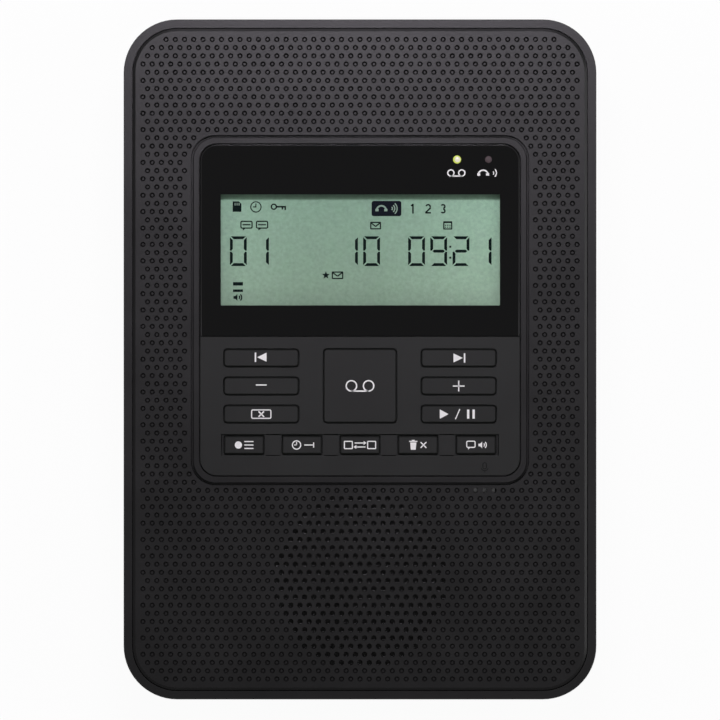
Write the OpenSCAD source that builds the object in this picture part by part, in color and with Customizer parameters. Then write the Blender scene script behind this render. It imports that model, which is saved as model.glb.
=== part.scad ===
// Desk telephone answering machine, lying on its feet with its face up.
// X runs to the right of the face, Y to the edge with the sockets, Z out of the face.
// The origin is on the desk, under the middle of the case.

/* [Case] */
// Width of the case
body_w = 130; // [124:0.5:140]
// Length of the case, from the socket edge to the speaker edge
body_d = 187; // [186:0.5:200]
// Height of the whole machine over its feet
face_z = 37; // [36:0.5:42]
// Radius of the case's four upright corners
corner_r = 14.7; // [13:0.1:17]
// Thickness of the side walls, and width of the rim around the face
rim_w = 2.3; // [2:0.1:2.6]
// Bevel on the outer edge of the rim
rim_bevel = 0.15; // [0.1:0.05:0.6]
// Bevel on the lower edge of the rear cover
base_bevel = 1.6; // [1:0.1:2]
// Height of the seam between the front and rear covers
seam_z = 20; // [19:0.5:21]

/* [Perforated panel] */
// Distance between neighbouring holes of one row
pitch_x = 2.54; // [2.4:0.01:2.8]
// Distance between neighbouring rows
pitch_y = 2.255; // [2.25:0.005:2.28]
// Radius of one hole
hole_r = 0.75; // [0.5:0.05:0.85]
// Width of the gap between the rim and the panel
panel_gap = 0.25; // [0.1:0.05:0.3]
// Width of the sloped edge around the panel
panel_slope_w = 0.7; // [0.4:0.1:0.9]
// How far that sloped edge falls
panel_slope_h = 0.3; // [0.2:0.1:0.5]
// Radius of the round field of open holes over the speaker
sound_r = 23.9; // [18:0.1:24.2]

/* [Control field] */
// Width of the opening for the control field in the panel
field_w = 93; // [92.8:0.1:93.2]
// Length of that opening
field_d = 96.3; // [96.1:0.1:96.5]
// Corner radius of that opening
field_r = 6.7; // [6.5:0.1:7]
// Width of the inset that holds the window and the keys
inset_w = 88.1; // [87.4:0.1:88.4]
// Length of that inset
inset_d = 91.2; // [91:0.1:91.4]
// Corner radius of that inset
inset_r = 4.7; // [4.4:0.1:5]
// How far the window and the key plate lie below the rim
inset_drop = 0.5; // [0.3:0.1:0.6]

/* [Display] */
// Width of the clear view area
view_w = 76.9; // [70:0.1:78]
// Length of the clear view area
view_d = 30.6; // [28:0.1:31]
// Thickness of the window
window_t = 1.5; // [1.3:0.1:1.6]
// Depth of the display glass below the printed mask
glass_drop = 1.4; // [1:0.1:1.6]

/* [Keys] */
// Width of the opening for a side key
side_key_w = 21.1; // [19:0.1:21.5]
// Length of the opening for a side key
side_key_d = 5.3; // [4.6:0.1:5.6]
// Distance between the side keys of one column
side_key_pitch = 7.72; // [7.4:0.01:8]
// Width of the opening for the square answer key
answer_key_w = 20.6; // [18:0.1:20.8]
// Length of the opening for the square answer key
answer_key_d = 20.8; // [18:0.1:21]
// Width of the opening for a small key
small_key_w = 11.4; // [10:0.1:11.6]
// Length of the opening for a small key
small_key_d = 5.4; // [4.6:0.1:5.5]
// Distance between the small keys
small_key_pitch = 15.95; // [15:0.05:16.2]
// Gap around a key in its opening
key_gap = 0.3; // [0.15:0.05:0.35]

/* [Inside] */
// Radius of the speaker's flange
speaker_r = 29; // [28:0.5:29.5]
// Thickness of the circuit boards
board_t = 1.6; // [1.2:0.2:1.6]
// Radius of a rubber foot
foot_r = 5.5; // [5:0.5:6]
// How far a foot stands out of the rear cover
foot_proud = 1; // [0.8:0.1:1.2]

/* [Hidden] */

$fn = 64;
fine = 96;         // sides of a large circle
over = 1;          // how far a cutter runs past a face

// Colours of the pieces
case_black = [0.13, 0.13, 0.14];
key_black = [0.11, 0.11, 0.12];
board_green = [0.08, 0.25, 0.14];
steel = [0.72, 0.72, 0.74];

// Heights of the front cover's floor and of what lies on it
panel_t = 2;
floor_top = face_z - panel_t;
floor_t = 1.6;
floor_z = floor_top - floor_t;
inset_z = face_z - inset_drop;
ledge_top = floor_top - 0.4;

// Hollow inside the case
hollow_w = body_w - 2 * rim_w;
hollow_d = body_d - 2 * rim_w;
hollow_r = corner_r - rim_w;
base_z = foot_proud;
base_t = 2.2;
base_top = base_z + base_t;
tongue_t = 1;
tongue_h = 1.4;
slip = 0.1;        // gap between pieces that slide together

// Perforated panel and the microphone under it
panel_w = hollow_w - 2 * panel_gap;
panel_d = hollow_d - 2 * panel_gap;
panel_r = hollow_r - panel_gap;
first_row_y = 88;  // the rows count from here, down to the speaker edge
last_row = 78;
sound_row = 66;    // row through the middle of the speaker
mic_row = 55;      // row that holds the microphone's three holes
sound_y = first_row_y - sound_row * pitch_y;
mic_y = first_row_y - mic_row * pitch_y;
mic_x = 13.5 * pitch_x;
capsule_r = 3;
capsule_h = 2.7;
boot_w = 9.2;
boot_low = 4;
boot_high = 2.3;

// Control field
field_y = 13.55;
inset_y = 13.6;
inset_gap = 0.25;
inset_slope_w = 0.15;
inset_slope_h = 0.08;
groove_gap = 0.2;  // gap that runs down beside the panel
groove_w = 0.8;
groove_d = 1.1;
land_bevel = 0.2;
ledge_w = 1.9;
plate_top_y = 6.2;
window_low_y = 6.5;
bar_low_y = 4.6;
bar_high_y = 8.2;

// Display
view_x = 0.1;
view_y = 30.15;
glass_top = ledge_top - glass_drop;
glass_t = 2.2;
glass_w = 80;
glass_low_y = 12.4;
glass_high_y = 47.5;
strip_d = 2.6;
led_spots = [[26.7, 55, 1.25], [35.35, 55, 0.95]];   // X, Y and radius of the hole in the mask

// Keys
side_key_x = 27.15;
side_key_top_y = 0.4;
side_key_r = 1.25;
answer_key_y = -7.27;
answer_key_r = 1.3;
small_key_y = -23.53;
small_key_r = 0.5;
strip_w = 76.4;
strip_cut_d = 6.05;
strip_depth = 0.6;
flange_w = 0.8;
flange_t = 0.95;
flange_top = ledge_top - 0.05;
key_z = flange_top - flange_t;
key_bevel = 0.3;

// Boards
key_board_top = floor_z - 3.8;
key_board_z = key_board_top - board_t;
key_board_w = 112;
key_board_low_y = -28.5;
key_board_high_y = 60;
key_board_spots = [for (x = [-1, 1], y = [-23, 54]) [x * 50.5, y]];
main_board_z = 6;
main_board_top = main_board_z + board_t;
main_board_w = 96;
main_board_low_y = -48;
main_board_high_y = 89.5;
main_board_spots = [for (x = [-1, 1], y = [-43, 60]) [x * 43, y]];

// Screws
case_spots = [for (x = [-1, 1], y = [-1, 1]) [x * 55.5, y * 83]];
case_post_top = 12;
case_shoulder_z = 7;
case_screw_r = 1.4;
small_screw_r = 1;
small_head_r = 2.1;
small_head_t = 1.5;

// Sockets in the edge of the rear cover
socket_w = 13.6;
socket_h = 12.2;
socket_d = 17;
socket_face_y = body_d / 2 - 0.3;
line_jack_x = 20;
phone_jack_x = 38;
plug_w = 9.9;
plug_h = 6.8;
plug_depth = 12.5;
catch_w = 6.2;
catch_h = 2.4;
dc_jack_x = -46;
dc_jack_w = 9;
dc_jack_h = 11;
dc_jack_d = 14;
dc_hole_r = 3.2;
dc_pin_r = 1.05;
card_y = -8;
card_w = 24.6;
card_h = 2.7;
card_body_w = 28;
card_body_d = 29;
card_body_h = 4;

// Speaker
speaker_top = floor_z - 0.4;
speaker_flange_t = 1.2;
speaker_depth = 17;
magnet_r = 13;
magnet_t = 7;
cone_r = 25.4;
coil_r = 7;
speaker_spots = [for (x = [-1, 1], y = [-1, 1]) [x * 22.5, sound_y + y * 22.5]];

// A rectangle with round corners, about the origin
module round_rect(w, d, r) {
  square([w - 2 * r, d], center = true);
  square([w, d - 2 * r], center = true);
  for (x = [-1, 1], y = [-1, 1])
    translate([x * (w / 2 - r), y * (d / 2 - r)]) circle(r = r, $fn = fine);
}

// A slab with upright round corners, standing on z = 0. Its upper edge slopes in by bevel
// while it rises by rise.
module bevelled_slab(w, d, r, h, bevel, rise = 0) {
  up = rise > 0 ? rise : bevel;
  linear_extrude(h - up) round_rect(w, d, r);
  translate([0, 0, h - up]) {
    rotate([90, 0, 90]) linear_extrude(w - 2 * r, center = true)
      polygon([[-d / 2, 0], [d / 2, 0], [d / 2 - bevel, up], [bevel - d / 2, up]]);
    rotate([90, 0, 0]) linear_extrude(d - 2 * r, center = true)
      polygon([[-w / 2, 0], [w / 2, 0], [w / 2 - bevel, up], [bevel - w / 2, up]]);
    for (x = [-1, 1], y = [-1, 1])
      translate([x * (w / 2 - r), y * (d / 2 - r), 0])
        cylinder(h = up, r1 = r, r2 = r - bevel, $fn = fine);
  }
}

// A box given by its lowest and highest corners
module block(low, high) {
  translate(low) cube(high - low);
}

// The same child at each place of a list
module at_spots(spots, z = 0) {
  for (s = spots) translate([s[0], s[1], z]) children();
}

// A post that hangs from the front cover's floor, with a blind pilot hole from below
module hanging_post(bottom_z, r, pilot_r, pilot_depth) {
  difference() {
    translate([0, 0, bottom_z]) cylinder(h = floor_z - bottom_z, r = r);
    translate([0, 0, bottom_z - over]) cylinder(h = pilot_depth + over, r = pilot_r);
  }
}

// Front cover: side walls, rim and the floor that carries the panel
module front_cover() {
  color(case_black) {
    difference() {
      translate([0, 0, seam_z])
        bevelled_slab(body_w, body_d, corner_r, face_z - seam_z, rim_bevel);
      translate([0, 0, seam_z - over])
        linear_extrude(floor_z - seam_z + over) round_rect(hollow_w, hollow_d, hollow_r);
      translate([0, 0, floor_top])
        linear_extrude(panel_t + over) round_rect(hollow_w, hollow_d, hollow_r);
      translate([0, 0, seam_z - over]) linear_extrude(tongue_h + slip + over)
        round_rect(hollow_w + 2 * (tongue_t + slip), hollow_d + 2 * (tongue_t + slip),
                   hollow_r + tongue_t + slip);
      translate([0, field_y, floor_z - over]) linear_extrude(floor_t + 2 * over)
        round_rect(field_w - 2.2, field_d - 2.2, field_r - 1.1);
      translate([0, sound_y, floor_z - over]) cylinder(h = floor_t + 2 * over, r = sound_r + 1.1);
      block([mic_x - boot_w / 2 - slip, mic_y - boot_low - slip, floor_z - over],
            [mic_x + boot_w / 2 + slip, field_y - field_d / 2 + 2, floor_top + over]);
    }
    at_spots(case_spots) hanging_post(case_post_top, 3.6, case_screw_r, 12);
    at_spots(key_board_spots) hanging_post(key_board_top, 3, small_screw_r, 3);
    at_spots(speaker_spots)
      hanging_post(speaker_top - speaker_flange_t, 2.6, small_screw_r, 1.4);
  }
}

// Centres of the panel's open holes, in staggered rows: a round field of them over the speaker,
// and three in one row over the microphone
open_holes = [
  for (row = [mic_row : last_row])
    for (column = [-12 : 15])
      let (x = (column + (row % 2) / 2) * pitch_x, y = first_row_y - row * pitch_y)
        if (norm([x, y - sound_y]) < sound_r || (row == mic_row && abs(x - mic_x) < 1.2 * pitch_x))
          [x, y]
];

// Perforated panel that covers the face around the control field
module grille_panel() {
  color(case_black) difference() {
    translate([0, 0, floor_top])
      bevelled_slab(panel_w, panel_d, panel_r, panel_t, panel_slope_w, panel_slope_h);
    translate([0, field_y, floor_top - over]) linear_extrude(panel_t + 2 * over)
      round_rect(field_w, field_d, field_r);
    for (hole = open_holes) translate([hole[0], hole[1], floor_top - over])
      cylinder(h = panel_t + 2 * over, r = hole_r, $fn = 24);
  }
}

// Outline of the inset, between two heights on the face
module inset_outline(low_y, high_y, ease = 0) {
  intersection() {
    translate([0, inset_y]) round_rect(inset_w - 2 * ease, inset_d - 2 * ease, inset_r - ease);
    translate([-inset_w, low_y]) square([2 * inset_w, high_y - low_y]);
  }
}

// Slab of that outline, with a sloped upper edge along the bezel ring
module inset_slab(low_y, high_y, low_z) {
  intersection() {
    translate([0, inset_y, low_z])
      bevelled_slab(inset_w, inset_d, inset_r, inset_z - low_z, inset_slope_w, inset_slope_h);
    block([-inset_w, low_y, low_z - over], [inset_w, high_y, inset_z + over]);
  }
}

// Bezel ring with its groove, and the ledge that carries the window and the key plate
module control_bezel() {
  land_in = groove_w - land_bevel;
  land_in_w = inset_w + 2 * inset_gap;
  land_in_d = inset_d + 2 * inset_gap;
  land_in_r = inset_r + inset_gap;
  color(case_black) {
    difference() {
      union() {
        translate([0, field_y, floor_top]) linear_extrude(panel_t - groove_d)
          round_rect(field_w - 2 * groove_gap, field_d - 2 * groove_gap, field_r - groove_gap);
        translate([0, field_y, floor_top])
          bevelled_slab(field_w - 2 * land_in, field_d - 2 * land_in, field_r - land_in,
                        panel_t, land_bevel);
        translate([0, field_y, floor_z]) linear_extrude(floor_t)
          round_rect(field_w - 2.4, field_d - 2.4, field_r - 1.2);
      }
      translate([0, inset_y, ledge_top]) linear_extrude(panel_t + over)
        round_rect(land_in_w, land_in_d, land_in_r);
      translate([0, inset_y, floor_z - over]) linear_extrude(floor_t + over)
        round_rect(inset_w - 2 * ledge_w, inset_d - 2 * ledge_w, inset_r - ledge_w);
    }
    block([ledge_w - inset_w / 2 - 0.2, bar_low_y, floor_z],
          [inset_w / 2 - ledge_w + 0.2, bar_high_y, ledge_top]);
  }
}

// Openings for the keys, grown by a margin
module side_key_outline(margin = 0) {
  round_rect(side_key_w + 2 * margin, side_key_d + 2 * margin, side_key_r + margin);
}
module answer_key_outline(margin = 0) {
  round_rect(answer_key_w + 2 * margin, answer_key_d + 2 * margin, answer_key_r + margin);
}
module small_key_outline(margin = 0) {
  round_rect(small_key_w + 2 * margin, small_key_d + 2 * margin, small_key_r + margin);
}
function side_key_spot(side, row) = [side * side_key_x, side_key_top_y - row * side_key_pitch];
function small_key_spot(column) = [(column - 2) * small_key_pitch, small_key_y];

// Matt plate around the keys, with a sunken strip for the small keys
module key_plate() {
  color(case_black) difference() {
    inset_slab(inset_y - inset_d / 2, plate_top_y, ledge_top);
    translate([0, 0, ledge_top - over]) linear_extrude(inset_z - ledge_top + 2 * over) {
      for (side = [-1, 1], row = [0 : 2])
        translate(side_key_spot(side, row)) side_key_outline();
      translate([0, answer_key_y]) answer_key_outline();
      for (column = [0 : 4]) translate(small_key_spot(column)) small_key_outline();
    }
    block([-strip_w / 2, small_key_y - strip_cut_d / 2, inset_z - strip_depth],
          [strip_w / 2, small_key_y + strip_cut_d / 2, inset_z + over]);
  }
}

// Clear window over the display and the two indicator lights
module display_window() {
  color([0.1, 0.11, 0.12, 0.5])
    inset_slab(window_low_y, inset_y + inset_d / 2 + over, inset_z - window_t);
}

// Black mask behind the window, open over the display and the lights
module window_mask() {
  color([0.02, 0.02, 0.02]) translate([0, 0, ledge_top]) linear_extrude(inset_z - window_t - ledge_top)
    difference() {
      inset_outline(window_low_y, inset_y + inset_d / 2, 0.1);
      translate([view_x, view_y]) square([view_w, view_d], center = true);
      for (spot = led_spots) translate([spot[0], spot[1]]) circle(r = spot[2]);
    }
}

// Frame that holds the display glass over the key board
module lcd_holder() {
  side = 1.4;
  color([0.2, 0.2, 0.21]) difference() {
    block([-glass_w / 2 - side, glass_low_y - side, key_board_top],
          [glass_w / 2 + side, glass_high_y + side, ledge_top]);
    block([-glass_w / 2 - slip, glass_low_y - slip, key_board_top - over],
          [glass_w / 2 + slip, glass_high_y + slip, glass_top]);
    block([-view_w / 2 - 0.6, view_y - view_d / 2 - 0.6, glass_top - over],
          [view_w / 2 + 0.6, view_y + view_d / 2 + 0.6, ledge_top + over]);
  }
}

// Liquid crystal cell: two sheets of glass, the upper one shorter than the lower
module lcd_glass() {
  color([0.62, 0.68, 0.6]) {
    block([-glass_w / 2, glass_low_y, glass_top - glass_t],
          [glass_w / 2, glass_high_y, glass_top - glass_t / 2]);
    block([-glass_w / 2, glass_low_y, glass_top - glass_t / 2],
          [glass_w / 2, glass_high_y - 1.5, glass_top]);
  }
}

// Light guide behind the cell
module lcd_backlight() {
  color([0.92, 0.94, 0.9])
    block([-glass_w / 2, glass_low_y + strip_d + 0.6, key_board_top],
          [glass_w / 2, glass_high_y, glass_top - glass_t]);
}

// Conductive rubber strip between the board and the cell
module lcd_connector() {
  color([0.75, 0.45, 0.4])
    block([-36, glass_low_y + 0.2, key_board_top],
          [36, glass_low_y + 0.2 + strip_d, glass_top - glass_t]);
}

// Two round indicator lights on the key board
module status_leds() {
  color([0.75, 0.85, 0.2]) for (spot = led_spots) translate([spot[0], spot[1], key_board_top]) {
    cylinder(h = 1, r = 1.9);
    cylinder(h = ledge_top - key_board_top - 1.7, r = 1.5);
    translate([0, 0, ledge_top - key_board_top - 1.7]) intersection() {
      sphere(r = 1.5);
      cylinder(h = 2, r = 2);
    }
  }
}

// One key: a bevelled cap over a flange that the plate holds back
module key_cap(w, d, r) {
  color(key_black) {
    translate([0, 0, key_z]) linear_extrude(flange_t)
      round_rect(w + 2 * flange_w, d + 2 * flange_w, r + flange_w);
    translate([0, 0, key_z]) bevelled_slab(w - 2 * key_gap, d - 2 * key_gap, r - key_gap,
                                           face_z - key_z, key_bevel);
  }
}
module side_key(side, row) {
  translate(side_key_spot(side, row)) key_cap(side_key_w, side_key_d, side_key_r);
}
module small_key(column) {
  translate(small_key_spot(column)) key_cap(small_key_w, small_key_d, small_key_r + 0.1);
}
module answer_key() {
  translate([0, answer_key_y]) key_cap(answer_key_w, answer_key_d, answer_key_r);
}

// Rubber mat with a dome under each key
module rubber_keymat() {
  mat_t = 1;
  dome_h = key_z - key_board_top - mat_t;
  color([0.3, 0.3, 0.32]) {
    block([-41, -27.3, key_board_top], [41, 5.4, key_board_top + mat_t]);
    translate([0, 0, key_board_top + mat_t]) {
      for (side = [-1, 1], row = [0 : 2], end = [-1, 1])
        translate(side_key_spot(side, row)) translate([end * 5, 0])
          cylinder(h = dome_h, r1 = 2.4, r2 = 1.6);
      for (x = [-1, 1], y = [-1, 1])
        translate([x * 6, answer_key_y + y * 6]) cylinder(h = dome_h, r1 = 3, r2 = 2);
      for (column = [0 : 4]) translate(small_key_spot(column))
        cylinder(h = dome_h, r1 = 2.4, r2 = 1.6);
    }
  }
}

// Board behind the keys and the display, with a tab for the microphone
module key_board() {
  color(board_green) translate([0, 0, key_board_z]) linear_extrude(board_t) difference() {
    union() {
      translate([-key_board_w / 2, key_board_low_y])
        square([key_board_w, key_board_high_y - key_board_low_y]);
      translate([mic_x - 6, mic_y - 5]) square([12, key_board_low_y - mic_y + 6]);
    }
    at_spots(key_board_spots) circle(r = small_screw_r + 0.2);
  }
}

// Pan-head screw with its head down and its tip up, head top at z = 0
module screw_up(length, r, head_r, head_t) {
  cylinder(h = length, r = r);
  difference() {
    translate([0, 0, -head_t]) cylinder(h = head_t, r = head_r);
    translate([0, 0, -head_t - over]) for (turn = [0, 90]) rotate(turn)
      linear_extrude(over + head_t / 2) square([head_r * 1.2, head_r / 4], center = true);
  }
}

module key_board_screws() {
  color(steel) at_spots(key_board_spots, key_board_z)
    screw_up(board_t + 2.6, small_screw_r, small_head_r, small_head_t);
}
module speaker_screws() {
  color(steel) at_spots(speaker_spots, speaker_top - speaker_flange_t)
    screw_up(1.2, small_screw_r, 4, 1);
}
module main_board_screws() {
  color(steel) at_spots(main_board_spots, main_board_top) mirror([0, 0, 1])
    screw_up(board_t + 2.2, small_screw_r, small_head_r, small_head_t);
}
module case_screws() {
  color(steel) at_spots(case_spots, case_shoulder_z)
    screw_up(14, case_screw_r, 2.7, 2);
}

// Flat cable between the two boards, with a plug at each end
module board_link() {
  x = -12;
  y = 53;
  plug = [18, 4.4, 4];
  color([0.85, 0.85, 0.82]) {
    block([x - plug[0] / 2, y - plug[1] / 2, main_board_top],
          [x + plug[0] / 2, y + plug[1] / 2, main_board_top + plug[2]]);
    block([x - plug[0] / 2, y - plug[1] / 2, key_board_z - plug[2]],
          [x + plug[0] / 2, y + plug[1] / 2, key_board_z]);
    block([x - 8, y - 0.4, main_board_top + plug[2] - 0.5],
          [x + 8, y + 0.4, key_board_z - plug[2] + 0.5]);
  }
}

// Black cloth under the open holes
module speaker_cloth() {
  color([0.03, 0.03, 0.03]) translate([0, sound_y, floor_top - 0.5])
    cylinder(h = 0.5, r = sound_r + 1);
}

// Foam ring between the speaker and the front cover
module speaker_gasket() {
  color([0.15, 0.15, 0.15]) translate([0, sound_y, speaker_top]) difference() {
    cylinder(h = floor_z - speaker_top, r = speaker_r - 0.3, $fn = fine);
    translate([0, 0, -over]) cylinder(h = 3, r = cone_r + 0.6, $fn = fine);
  }
}

// Pressed steel basket with six windows
module speaker_basket() {
  seat_z = -speaker_depth + magnet_t;
  color(steel) translate([0, sound_y, speaker_top]) {
    difference() {
      rotate_extrude($fn = fine) polygon([
        [speaker_r, 0], [speaker_r, -speaker_flange_t], [cone_r + 1.4, -speaker_flange_t],
        [magnet_r + 3, seat_z], [coil_r + 1.6, seat_z], [coil_r + 1.6, seat_z + 1],
        [magnet_r + 2.4, seat_z + 1], [cone_r + 0.6, -0.6], [cone_r + 0.6, 0]]);
      for (turn = [0 : 60 : 300]) rotate(turn + 30)
        translate([17, 0, seat_z - over]) cylinder(h = 8.6, r = 4.2);
    }
    block([-5, speaker_r - 4.8, -4.4], [5, speaker_r - 2.4, -speaker_flange_t]);
  }
}

// Paper cone with its surround and dust cap
module speaker_cone() {
  cup_z = -7;
  color([0.1, 0.1, 0.1]) translate([0, sound_y, speaker_top]) rotate_extrude($fn = fine) polygon([
    [0, cup_z + 2.6], [coil_r - 2, cup_z + 2], [coil_r, cup_z + 0.6],
    [cone_r - 3, -1], [cone_r - 1.5, -0.3], [cone_r, -0.2], [cone_r + 0.6, -0.2], [cone_r + 0.6, -0.6],
    [cone_r - 1, -0.8], [cone_r - 2.6, -1.8], [coil_r + 0.6, cup_z - 0.4],
    [coil_r + 0.6, -speaker_depth + magnet_t], [coil_r, -speaker_depth + magnet_t],
    [coil_r, cup_z], [coil_r - 2, cup_z + 1.4], [0, cup_z + 2]]);
}

// Ring magnet between its two steel plates
module speaker_magnet() {
  color([0.25, 0.25, 0.27]) translate([0, sound_y, speaker_top - speaker_depth]) {
    cylinder(h = 1.2, r = magnet_r - 1, $fn = fine);
    translate([0, 0, 1.2]) cylinder(h = magnet_t - 2.2, r = magnet_r, $fn = fine);
    translate([0, 0, magnet_t - 1]) cylinder(h = 1, r = magnet_r - 1, $fn = fine);
  }
}

// Two wires from the speaker's terminals down to a plug on the main board
module speaker_lead() {
  y = sound_y + speaker_r - 3.6;
  terminal_z = speaker_top - 4.4;
  color([0.6, 0.1, 0.1]) {
    block([-3.5, y - 2, main_board_top], [3.5, y + 2, main_board_top + 5]);
    for (x = [-1.5, 1.5]) translate([x, y, main_board_top + 4.5])
      cylinder(h = terminal_z - main_board_top - 4.5, r = 0.55);
  }
}

// Electret capsule and the rubber boot that leads to it from three holes of the panel
module microphone() {
  color(steel) translate([mic_x, mic_y, key_board_top]) difference() {
    cylinder(h = capsule_h, r = capsule_r);
    translate([0, 0, capsule_h - 0.4]) cylinder(h = over, r = 0.8);
  }
}
module mic_boot() {
  neck_z = floor_z - 0.2;
  color([0.15, 0.15, 0.15]) translate([mic_x, mic_y, 0]) difference() {
    union() {
      block([-boot_w / 2, -boot_low, key_board_top], [boot_w / 2, boot_low, neck_z]);
      block([-boot_w / 2, -boot_low, neck_z], [boot_w / 2, boot_high, floor_top]);
    }
    translate([0, 0, key_board_top - over]) cylinder(h = capsule_h + over, r = capsule_r);
    block([-3.8, -1.4, key_board_top + capsule_h - over], [3.8, 1.4, floor_top + over]);
  }
}

// Main circuit board
module main_board() {
  color(board_green) translate([0, 0, main_board_z]) linear_extrude(board_t) difference() {
    translate([-main_board_w / 2, main_board_low_y])
      square([main_board_w, main_board_high_y - main_board_low_y]);
    at_spots(main_board_spots) circle(r = small_screw_r + 0.2);
  }
}

// Six-way modular socket with its latch notch, mouth towards +Y
module modular_socket(x) {
  mouth_z = main_board_top + 2.2;
  color([0.08, 0.08, 0.08]) difference() {
    block([x - socket_w / 2, socket_face_y - socket_d, main_board_top],
          [x + socket_w / 2, socket_face_y, main_board_top + socket_h]);
    block([x - plug_w / 2, socket_face_y - plug_depth, mouth_z],
          [x + plug_w / 2, socket_face_y + over, mouth_z + plug_h]);
    block([x - catch_w / 2, socket_face_y - 8, mouth_z + plug_h - over],
          [x + catch_w / 2, socket_face_y + over, mouth_z + plug_h + catch_h]);
  }
}
module line_jack() {
  modular_socket(line_jack_x);
}
module phone_jack() {
  modular_socket(phone_jack_x);
}

// Round power inlet with its centre pin
module dc_jack() {
  axis_z = main_board_top + 6.4;
  color([0.08, 0.08, 0.08]) {
    difference() {
      block([dc_jack_x - dc_jack_w / 2, socket_face_y - dc_jack_d, main_board_top],
            [dc_jack_x + dc_jack_w / 2, socket_face_y, main_board_top + dc_jack_h]);
      translate([dc_jack_x, socket_face_y + over, axis_z]) rotate([90, 0, 0])
        cylinder(h = 10 + over, r = dc_hole_r);
    }
    translate([dc_jack_x, socket_face_y - 1, axis_z]) rotate([90, 0, 0])
      cylinder(h = 9.5, r = dc_pin_r);
  }
}

// Memory card socket, mouth towards +X
module card_socket() {
  face_x = body_w / 2 - rim_w;
  mouth_z = main_board_top + 0.7;
  color(steel) difference() {
    block([face_x - card_body_d, card_y - card_body_w / 2, main_board_top],
          [face_x - slip, card_y + card_body_w / 2, main_board_top + card_body_h]);
    block([face_x - card_body_d + 4, card_y - card_w / 2, mouth_z],
          [face_x + over, card_y + card_w / 2, mouth_z + card_h]);
  }
}

// Parts soldered to the main board
module line_transformer() {
  x = 24;
  y = 46;
  color([0.2, 0.2, 0.2]) {
    block([x - 9, y - 8, main_board_top], [x + 9, y + 8, main_board_top + 2]);
    block([x - 6, y - 6, main_board_top + 2], [x + 6, y + 6, main_board_top + 13]);
    block([x - 9, y - 3, main_board_top + 2], [x - 6, y + 3, main_board_top + 13]);
    block([x + 6, y - 3, main_board_top + 2], [x + 9, y + 3, main_board_top + 13]);
    block([x - 9, y - 3, main_board_top + 13], [x + 9, y + 3, main_board_top + 15]);
  }
}
module line_relay() {
  color([0.85, 0.6, 0.15])
    block([0, 66, main_board_top], [7.5, 81, main_board_top + 10]);
}
module board_chips() {
  color([0.06, 0.06, 0.06]) {
    block([-24, -6, main_board_top], [-4, 14, main_board_top + 1.6]);
    block([6, 6, main_board_top], [18, 14, main_board_top + 1.4]);
    block([-20, -30, main_board_top], [-12, -20, main_board_top + 1.4]);
    block([-34, 30, main_board_top], [-24, 38, main_board_top + 2]);
  }
}
module board_capacitors() {
  spots = [[-38, 70, 5, 12], [-26, 72, 4, 11], [-14, 74, 3.15, 11], [-30, -34, 3.15, 8],
           [8, -8, 2.5, 7]];
  color([0.15, 0.15, 0.3]) for (c = spots)
    translate([c[0], c[1], main_board_top]) cylinder(h = c[3], r = c[2]);
}

// Coin cell for the clock, under its spring clip
module clock_battery() {
  color(steel) translate([-36, 12, main_board_top + 1]) {
    cylinder(h = 2.4, r = 10);
    translate([0, 0, 2.4]) cylinder(h = 0.8, r = 9);
  }
}
module battery_clip() {
  color([0.75, 0.72, 0.6]) translate([-36, 12, main_board_top]) {
    difference() {
      cylinder(h = 1, r = 11);
      translate([0, 0, -over]) cylinder(h = 3, r = 8);
    }
    block([-3, -11.4, 0], [3, -10.2, 4.6]);
    block([-3, -10.4, 4.2], [3, 6, 4.6]);
  }
}

// Rear cover: a tray with the sockets' openings, the posts and the feet's recesses
module rear_cover() {
  color(case_black) difference() {
    union() {
      difference() {
        translate([0, 0, seam_z]) mirror([0, 0, 1])
          bevelled_slab(body_w, body_d, corner_r, seam_z - base_z, base_bevel);
        translate([0, 0, base_top]) linear_extrude(seam_z)
          round_rect(hollow_w, hollow_d, hollow_r);
      }
      translate([0, 0, seam_z - 2]) linear_extrude(2 + tongue_h) difference() {
        round_rect(hollow_w + 2 * tongue_t, hollow_d + 2 * tongue_t, hollow_r + tongue_t);
        round_rect(hollow_w, hollow_d, hollow_r);
      }
      at_spots(case_spots, base_z) cylinder(h = case_post_top - base_z, r = 4.2);
      at_spots(main_board_spots, base_z + 1) cylinder(h = main_board_z - base_z - 1, r = 3);
    }
    at_spots(case_spots, base_z - over) cylinder(h = case_shoulder_z - base_z + over, r = 3);
    at_spots(case_spots) cylinder(h = case_post_top + over, r = case_screw_r + 0.1);
    at_spots(main_board_spots, main_board_z - 2.6) cylinder(h = 3, r = small_screw_r);
    at_spots(foot_spots(), base_z - over) cylinder(h = 0.8 + over, r = foot_r + slip);
    for (x = [line_jack_x, phone_jack_x])
      block([x - socket_w / 2 - slip, hollow_d / 2 - over, main_board_top - slip],
            [x + socket_w / 2 + slip, body_d / 2 + over, main_board_top + socket_h + slip]);
    block([dc_jack_x - dc_jack_w / 2 - slip, hollow_d / 2 - over, main_board_top - slip],
          [dc_jack_x + dc_jack_w / 2 + slip, body_d / 2 + over, main_board_top + dc_jack_h + slip]);
    block([hollow_w / 2 - over, card_y - card_w / 2 - 0.2, main_board_top + 0.5],
          [body_w / 2 + over, card_y + card_w / 2 + 0.2, main_board_top + 0.9 + card_h]);
  }
}

// Four rubber feet
function foot_spots() = [for (x = [-1, 1], y = [-1, 1]) [x * 50, y * 68]];
module rubber_feet() {
  color([0.05, 0.05, 0.05]) at_spots(foot_spots()) {
    translate([0, 0, 0.3]) cylinder(h = base_z + 0.5, r = foot_r);
    cylinder(h = 0.3, r1 = foot_r - 0.3, r2 = foot_r);
  }
}

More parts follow.
